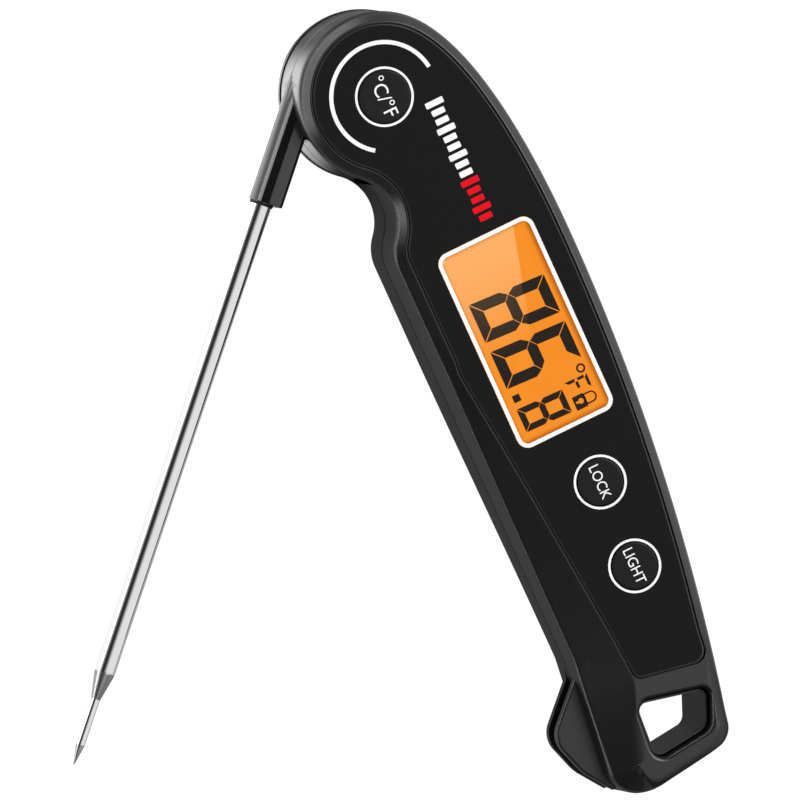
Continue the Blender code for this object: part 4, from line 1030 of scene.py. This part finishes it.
def hinge_and_probe():
    for tag, sign in (("front", 1), ("rear", -1)):
        half = turned_out(hub_half("hub_%s_skin" % tag, sign))
        place(half, MATS["arm"], "probe", "arm_black", ["hub_" + tag], 30.0)
    x = -PROBE_OFFSET
    needle = TIP_END - CONE_LEN - NEEDLE_LEN
    tube_end = needle - TAPER_LEN
    span = tube_end - TUBE_START
    tube = turned_along("probe_tube_skin", [(TUBE_R - 0.05, span - 0.03), (TUBE_R, span - 0.1), (TUBE_R, 0),
                                            (TUBE_BORE_R, 0), (TUBE_BORE_R, span - 0.03)],
                        (x, -TUBE_START, SPLIT_Z), (0, -1, 0), 128)
    place(turned_out(tube), MATS["tube"], "probe", "steel_polished", ["probe_tube"])
    tip_len = TIP_END - tube_end
    bore = tip_len - CONE_LEN - 0.5
    profile = [(0, tip_len), (0.06, tip_len - 0.03), (0.12, tip_len - 0.15)]
    profile += [(NEEDLE_R, tip_len - CONE_LEN), (NEEDLE_R, TAPER_LEN + 0.15), (NEEDLE_R + 0.04, TAPER_LEN),
                (NEEDLE_R + 0.12, TAPER_LEN - 0.3), (TUBE_R - 0.03, 0.06), (TUBE_R - 0.05, 0.0)]
    profile += [(1.3, 0.0), (1.15, 0.9), (0.55, TAPER_LEN), (0.55, bore), (0, bore)]
    tip = turned_along("probe_tip_skin", profile, (x, -tube_end, SPLIT_Z), (0, -1, 0), 96)
    tip = place(turned_out(tip), MATS["tip"], "probe", "steel_ground", ["probe_tip"], 20.0)
    tip.data.materials.append(MATS["tube"])
    middle = math.hypot(PROBE_OFFSET, tube_end + (TAPER_LEN + tip_len - CONE_LEN) / 2)
    for face in tip.data.polygons:
        if abs(face.center.xy.length / MM - middle) < 1.0:
            face.material_index = 1
    seal = turned_along("socket_seal_skin", [(2.03, 0.5), (2.12, 0.43), (2.15, 0.32), (2.15, 0.0),
                                             (TUBE_R + 0.03, 0.0), (TUBE_R + 0.03, 0.5)],
                        (x, -(ARM_END + 0.03), SPLIT_Z), (0, -1, 0), 64)
    place(turned_out(seal), MATS["rubber"], "probe", "rubber_black", ["socket_seal"])


# ------------------------------------------------------------------ back
def battery_door():
    x0, x1, y0, y1 = DOOR
    door = soft_prism("battery_door_skin", rounded_box(x0, x1, y0, y1, 1.5), 0.0, 1.4, 0.0, 0.22, 3)
    cut(door, turned("door_hole", [(0, 3.0), (1.7, 3.0), (1.7, 0.85), (3.1, 0.85), (3.1, 0.12), (3.22, 0.0),
                                   (3.22, -1.0), (0, -1.0)], *DOOR_SCREW, 64))
    for i in range(6):
        y = -58.0 - 2.0 * i
        cut(door, soft_prism("door_grip_%d" % i, rounded_box(-0.6, 7.6, y - 0.45, y + 0.45, 0.44, 8), -1.0,
                             0.35, 0.15))
    carve(door)
    place(door, MATS["shell"], "door", "shell_black", ["battery_door"], 36.0)
    x, y = DOOR_SCREW
    profile = [(0, 7.4), (0.9, 7.4), (1.0, 7.3)]
    z = 7.0
    while z > 1.4:
        profile += [(1.3, z), (1.3, z - 0.12), (1.1, z - 0.3), (1.1, z - 0.38)]
        z -= 0.55
    profile += [(1.3, z), (1.3, 0.75), (2.78, 0.75), (2.85, 0.68), (2.85, 0.25), (2.78, 0.12), (2.62, 0.05),
                (0, 0.05)]
    screw = turned("door_screw_skin", profile, x, y, 64)
    cut(screw, box("door_slot", x - 4.0, x + 4.0, y - 0.5, y + 0.5, -1.0, 0.5))
    place(carve(screw), MATS["steel"], "door", "steel_plated", ["door_screw"])
    for i, (x, y) in enumerate(SCREWS):
        screw = turned("case_screw_%d_skin" % (i + 1), [(0, 14.5), (0.5, 14.5), (0.85, 13.6), (0.85, 3.85),
                                                        (1.8, 3.85), (1.8, 3.0), (1.7, 2.75), (1.4, 2.55),
                                                        (0, 2.5)], x, y, 48)
        for tag, a, b in (("a", 1.1, 0.22), ("b", 0.22, 1.1)):
            cut(screw, box("cross_%s_%d" % (tag, i), x - a, x + a, y - b, y + b, 1.0, 3.2))
        place(carve(screw), MATS["steel"], "handle", "steel_plated", ["case_screw_%d" % (i + 1)])


def rear_label():
    plate = soft_prism("rear_label_skin", rounded_box(-3.0, 11.0, -46.0, -26.0, 1.8), 0.1, 0.38, 0.0, 0.05, 2)
    place(plate, MATS["label"], "handle", "label_grey", ["rear_label"])
    marks = [band("label_border", rounded_box(-2.3, 10.3, -45.3, -26.7, 1.2),
                  rounded_box(-2.05, 10.05, -45.05, -26.95, 0.95), 0.06, 0.16)]
    for i, end in enumerate((8.8, 6.4, 8.0, 5.2, 7.2)):
        y = -30.0 - 2.6 * i
        row = rounded_box(-0.8, end, y - 0.3, y + 0.3, 0.28, 4)
        marks.append(prism("label_line_%d" % i, row, 0.06, 0.16))
    place(group("label_marks", marks), MATS["ink"], "handle", weighted=False)


def battery_cell():
    length = CELL_Y1 - CELL_Y0
    r = CELL_R
    jacket = [(3.6, length + 0.02), (4.5, length + 0.02), (4.95, length - 0.12), (r, length - 0.55),
              (r, 0.45), (4.95, 0.1), (4.6, 0.0), (3.9, 0.0), (3.9, 0.25), (3.6, 0.25)]
    cell = turned_along("cell_jacket", jacket, (CELL_X, CELL_Y0, CELL_Z), (0, 1, 0), 96)
    m = Nodes("cell_jacket_finish")
    x, y, z = m.xyz()
    t = m.span(y, CELL_Y0, CELL_Y1)
    dark = m.span(t, 0.705, 0.71)
    band_a = m.math("MULTIPLY", m.span(t, 0.66, 0.665), m.span(t, 0.69, 0.685))
    colour = m.mix(dark, (0.035, 0.035, 0.04), (0.62, 0.33, 0.09))
    colour = m.mix(band_a, colour, (0.75, 0.72, 0.66))
    fine = m.noise(0.8, 3.0)
    m.set(Base_Color=colour, Roughness=m.span(fine, 0.3, 0.7, 0.2, 0.32), Metallic=0.35)
    m.bump(fine, 0.01)
    place(cell, m.mat, "handle", "cell_wrap", ["battery_cell"])
    caps = [turned_along("cell_nub", [(0, length + 0.85), (1.6, length + 0.85), (1.84, length + 0.75),
                                      (1.9, length + 0.6), (1.9, length + 0.1), (2.05, length - 0.1),
                                      (3.5, length - 0.1), (3.5, length - 0.6), (0, length - 0.6)],
                         (CELL_X, CELL_Y0, CELL_Z), (0, 1, 0), 64),
            turned_along("cell_base", [(0, 0.6), (3.5, 0.6), (3.5, 0.12), (3.1, 0.05), (2.7, 0.2), (0, 0.2)],
                         (CELL_X, CELL_Y0, CELL_Z), (0, 1, 0), 64)]
    place(group("cell_ends", caps), MATS["steel"], "handle", "steel_plated")
    coil = []
    for i in range(160):
        a = 2 * math.pi * i / 48
        r = 3.4 - 1.5 * i / 159
        coil.append((CELL_X + r * math.cos(a), -102.2 + 2.4 * i / 159, CELL_Z + r * math.sin(a)))
    spring = swept("contact_spring_skin", coil, 0.3, 16)
    place(spring, MATS["steel"], "handle", "steel_plated", ["contact_spring"], 60.0)


# ------------------------------------------------------------------ CAD nodes that stay
KEPT = {
    "rubber": ("case_seal", "hub_seal_front", "hub_seal_rear"),
    "rubber_grey": ("door_seal", "contact_strip", "unit_key_seal", "lock_key_seal", "light_key_seal"),
    "steel": ("unit_switch", "lock_switch", "light_switch", "crystal_can", "contact_upper", "contact_lower",
              "rear_magnet", "hinge_spring"),
    "brass": ("screw_insert",),
    "shell": ("head_cup",),
    "guide": ("backlight_plate",),
    "led": ("backlight_led_left", "backlight_led_right"),
    "holder": ("lcd_holder",),
    "board": ("main_board", "key_board"),
    "flex": ("key_flex",),
    "chip": ("processor_chip", "motion_sensor"),
    "acetal": ("hinge_washer",),
    "wire": ("hinge_lead", "probe_lead"),
    "bead": ("thermistor",),
}


def kept_nodes():
    for key, names in KEPT.items():
        for name in names:
            obj = NODES[name]
            obj.data.materials.clear()
            obj.data.materials.append(MATS[key])
            if name.startswith("contact_") or name in ("processor_chip", "motion_sensor", "main_board"):
                mod = obj.modifiers.new("edges", "BEVEL")
                mod.width = 0.12 * MM
                mod.segments = 2
                mod.limit_method = "ANGLE"
                mod.angle_limit = math.radians(50)


# ------------------------------------------------------------------ studio
OUT = Vector((-0.719, 0.695, 0.0))       # across the probe, away from the handle
SKY_LEVEL, STRIP_LEVEL = 0.85, 6.0
FLOOR_Z, FLOOR_HALF = -0.6, 3000.0


def sky_and_lamp():
    world = bpy.data.worlds.new("studio")
    bpy.context.scene.world = world
    world.use_nodes = True
    sky = Tree(world.node_tree)
    back = sky.tree.nodes["Background"]

    def times(a, b):
        return sky.math("MULTIPLY", a, b)

    def zone(angle, near, far):
        """1 where the angle is between the two edges, each edge given as (0 at, 1 at) in degrees."""
        return times(sky.span(angle, *near, smooth=True), sky.span(angle, *far, smooth=True))

    def without(level, part, share):
        """The level with a share of it taken away where part is 1."""
        return times(level, sky.math("SUBTRACT", 1.0, times(part, share)))

    coord = sky.add("ShaderNodeTexCoord")
    x, y, z = sky.axes(coord.outputs["Generated"])
    out = sky.math("ADD", times(x, OUT.x), times(y, OUT.y))
    lean = times(sky.math("ARCTAN2", out, z), 180 / math.pi)
    rise = times(sky.math("ARCSINE", z), 180 / math.pi)
    toward = times(sky.math("ARCTAN2", x, y), 180 / math.pi)
    # a dark flag hangs over the probe's outer side; a bright strip stands beyond it, near the horizon
    flag = zone(lean, (-13.0, 27.0), (84.0, 44.0))
    strip = times(zone(toward, (-106.0, -92.0), (30.0, 5.0)), sky.span(rise, 22.0, 2.0, smooth=True))
    # the left, beyond the strip, stays dark down to the horizon
    left = sky.math("MAXIMUM", sky.span(toward, -92.0, -106.0, smooth=True),
                    sky.span(toward, 146.0, 162.0, smooth=True))
    left = times(left, sky.span(rise, 60.0, 40.0, smooth=True))
    level = sky.math("ADD", SKY_LEVEL, times(strip, STRIP_LEVEL))
    level = without(without(level, flag, 0.97), left, 0.85)
    sky.put((back.inputs["Strength"], back.inputs["Color"]), (level, (1.0, 1.0, 1.0)))

    softbox = bpy.data.lights.new("softbox", "AREA")
    softbox.shape = "RECTANGLE"
    softbox.size, softbox.size_y = 0.5, 0.4
    softbox.energy = 5.5
    lamp = bpy.data.objects.new("softbox", softbox)
    bpy.context.scene.collection.objects.link(lamp)
    lamp.visible_camera = False
    aim = Vector((0.6, 0.1, 0.79)).normalized()
    lamp.location = Vector((0.0, -0.06, 0.0)) + aim * 0.9
    lamp.rotation_mode = "QUATERNION"
    lamp.rotation_quaternion = aim.to_track_quat("Z", "Y")


def paper():
    h = FLOOR_HALF
    corners = [(x, y, FLOOR_Z) for x, y in ((-h, -h), (h, -h), (h, h), (-h, h))]
    floor = new_object("floor", corners, [(0, 1, 2, 3)])
    m = Nodes("floor_paper")
    x, y, _ = m.xyz()
    # the paper is white where the camera sees it; grey cards beside the handle only tone reflections
    across = m.math("ADD", m.math("MULTIPLY", x, OUT.x), m.math("MULTIPLY", y, OUT.y))
    top = m.math("MAXIMUM", m.span(y, 5.0, 10.0, 1.0, 0.15, smooth=True), m.span(x, -5.0, -12.0, smooth=True))
    corner = m.math("MULTIPLY", m.span(x, 14.0, 34.0, smooth=True), m.span(y, -150.0, -115.0, smooth=True))
    lit = m.math("MAXIMUM", m.math("MULTIPLY", m.span(across, 11.5, 14.5, smooth=True), top), corner)
    grey = m.span(x, -25.0, -17.0, 0.36, 0.13)
    near = m.math("POWER", m.math("ADD", m.math("POWER", m.math("ADD", x, 10.5), 2.0),
                                  m.math("POWER", m.math("ADD", y, 11.5), 2.0)), 0.5)
    grey = m.math("MULTIPLY", grey, m.span(near, 5.0, 10.0, 0.1, 1.0))
    spot = m.math("MULTIPLY", m.span(x, -8.0, -14.0, smooth=True), m.span(y, -14.0, -3.0, smooth=True))
    spot = m.math("MULTIPLY", spot, m.span(y, 19.0, 13.0, 0.0, 1.3, smooth=True))
    card = m.math("ADD", m.math("ADD", grey, m.math("MULTIPLY", lit, m.math("SUBTRACT", 0.95, grey))), spot)
    path = m.add("ShaderNodeLightPath")
    glow = m.math("MAXIMUM", card, path.outputs["Is Camera Ray"])
    m.set(Base_Color=m.mix(m.noise(0.02), (0.1, 0.1, 0.1), (0.11, 0.11, 0.11)), Roughness=0.9,
          Emission_Color=(1.0, 1.0, 1.0), Emission_Strength=glow, Specular_IOR_Level=0.0)
    # one-sided, so that the object's back is seen from below
    clear = m.add("ShaderNodeBsdfTransparent")
    pick = m.add("ShaderNodeMixShader")
    side = m.add("ShaderNodeNewGeometry")
    m.put(pick.inputs, (side.outputs["Backfacing"], m.shader.outputs[0], clear.outputs[0]))
    m.link(pick.outputs[0], m.tree.nodes["Material Output"].inputs["Surface"])
    floor.data.materials.append(m.mat)


def camera():
    back = Vector((-0.199, 0.1335, 0.971)).normalized()
    up = Vector((0.4316, 0.9063, -0.036))
    right = up.cross(back).normalized()
    up = back.cross(right)
    distance, view_width = 5000.0, 142.32
    data = bpy.data.cameras.new("camera")
    data.sensor_width = 36.0
    data.lens = data.sensor_width * distance / view_width
    data.clip_start, data.clip_end = 0.1, 50.0
    cam = bpy.data.objects.new("camera", data)
    bpy.context.scene.collection.objects.link(cam)
    where = Vector((-20.21, -50.14, BODY_T)) + back * distance
    cam.matrix_world = Matrix.Translation(where * MM) @ Matrix((right, up, back)).transposed().to_4x4()
    bpy.context.scene.camera = cam


front_shell()
rear_shell()
face_panel()
display_parts()
display_marks()
key_caps()
panel_prints()
hinge_and_probe()
battery_door()
rear_label()
battery_cell()
kept_nodes()
sky_and_lamp()
paper()
camera()
bpy.context.scene.view_settings.view_transform = "Standard"
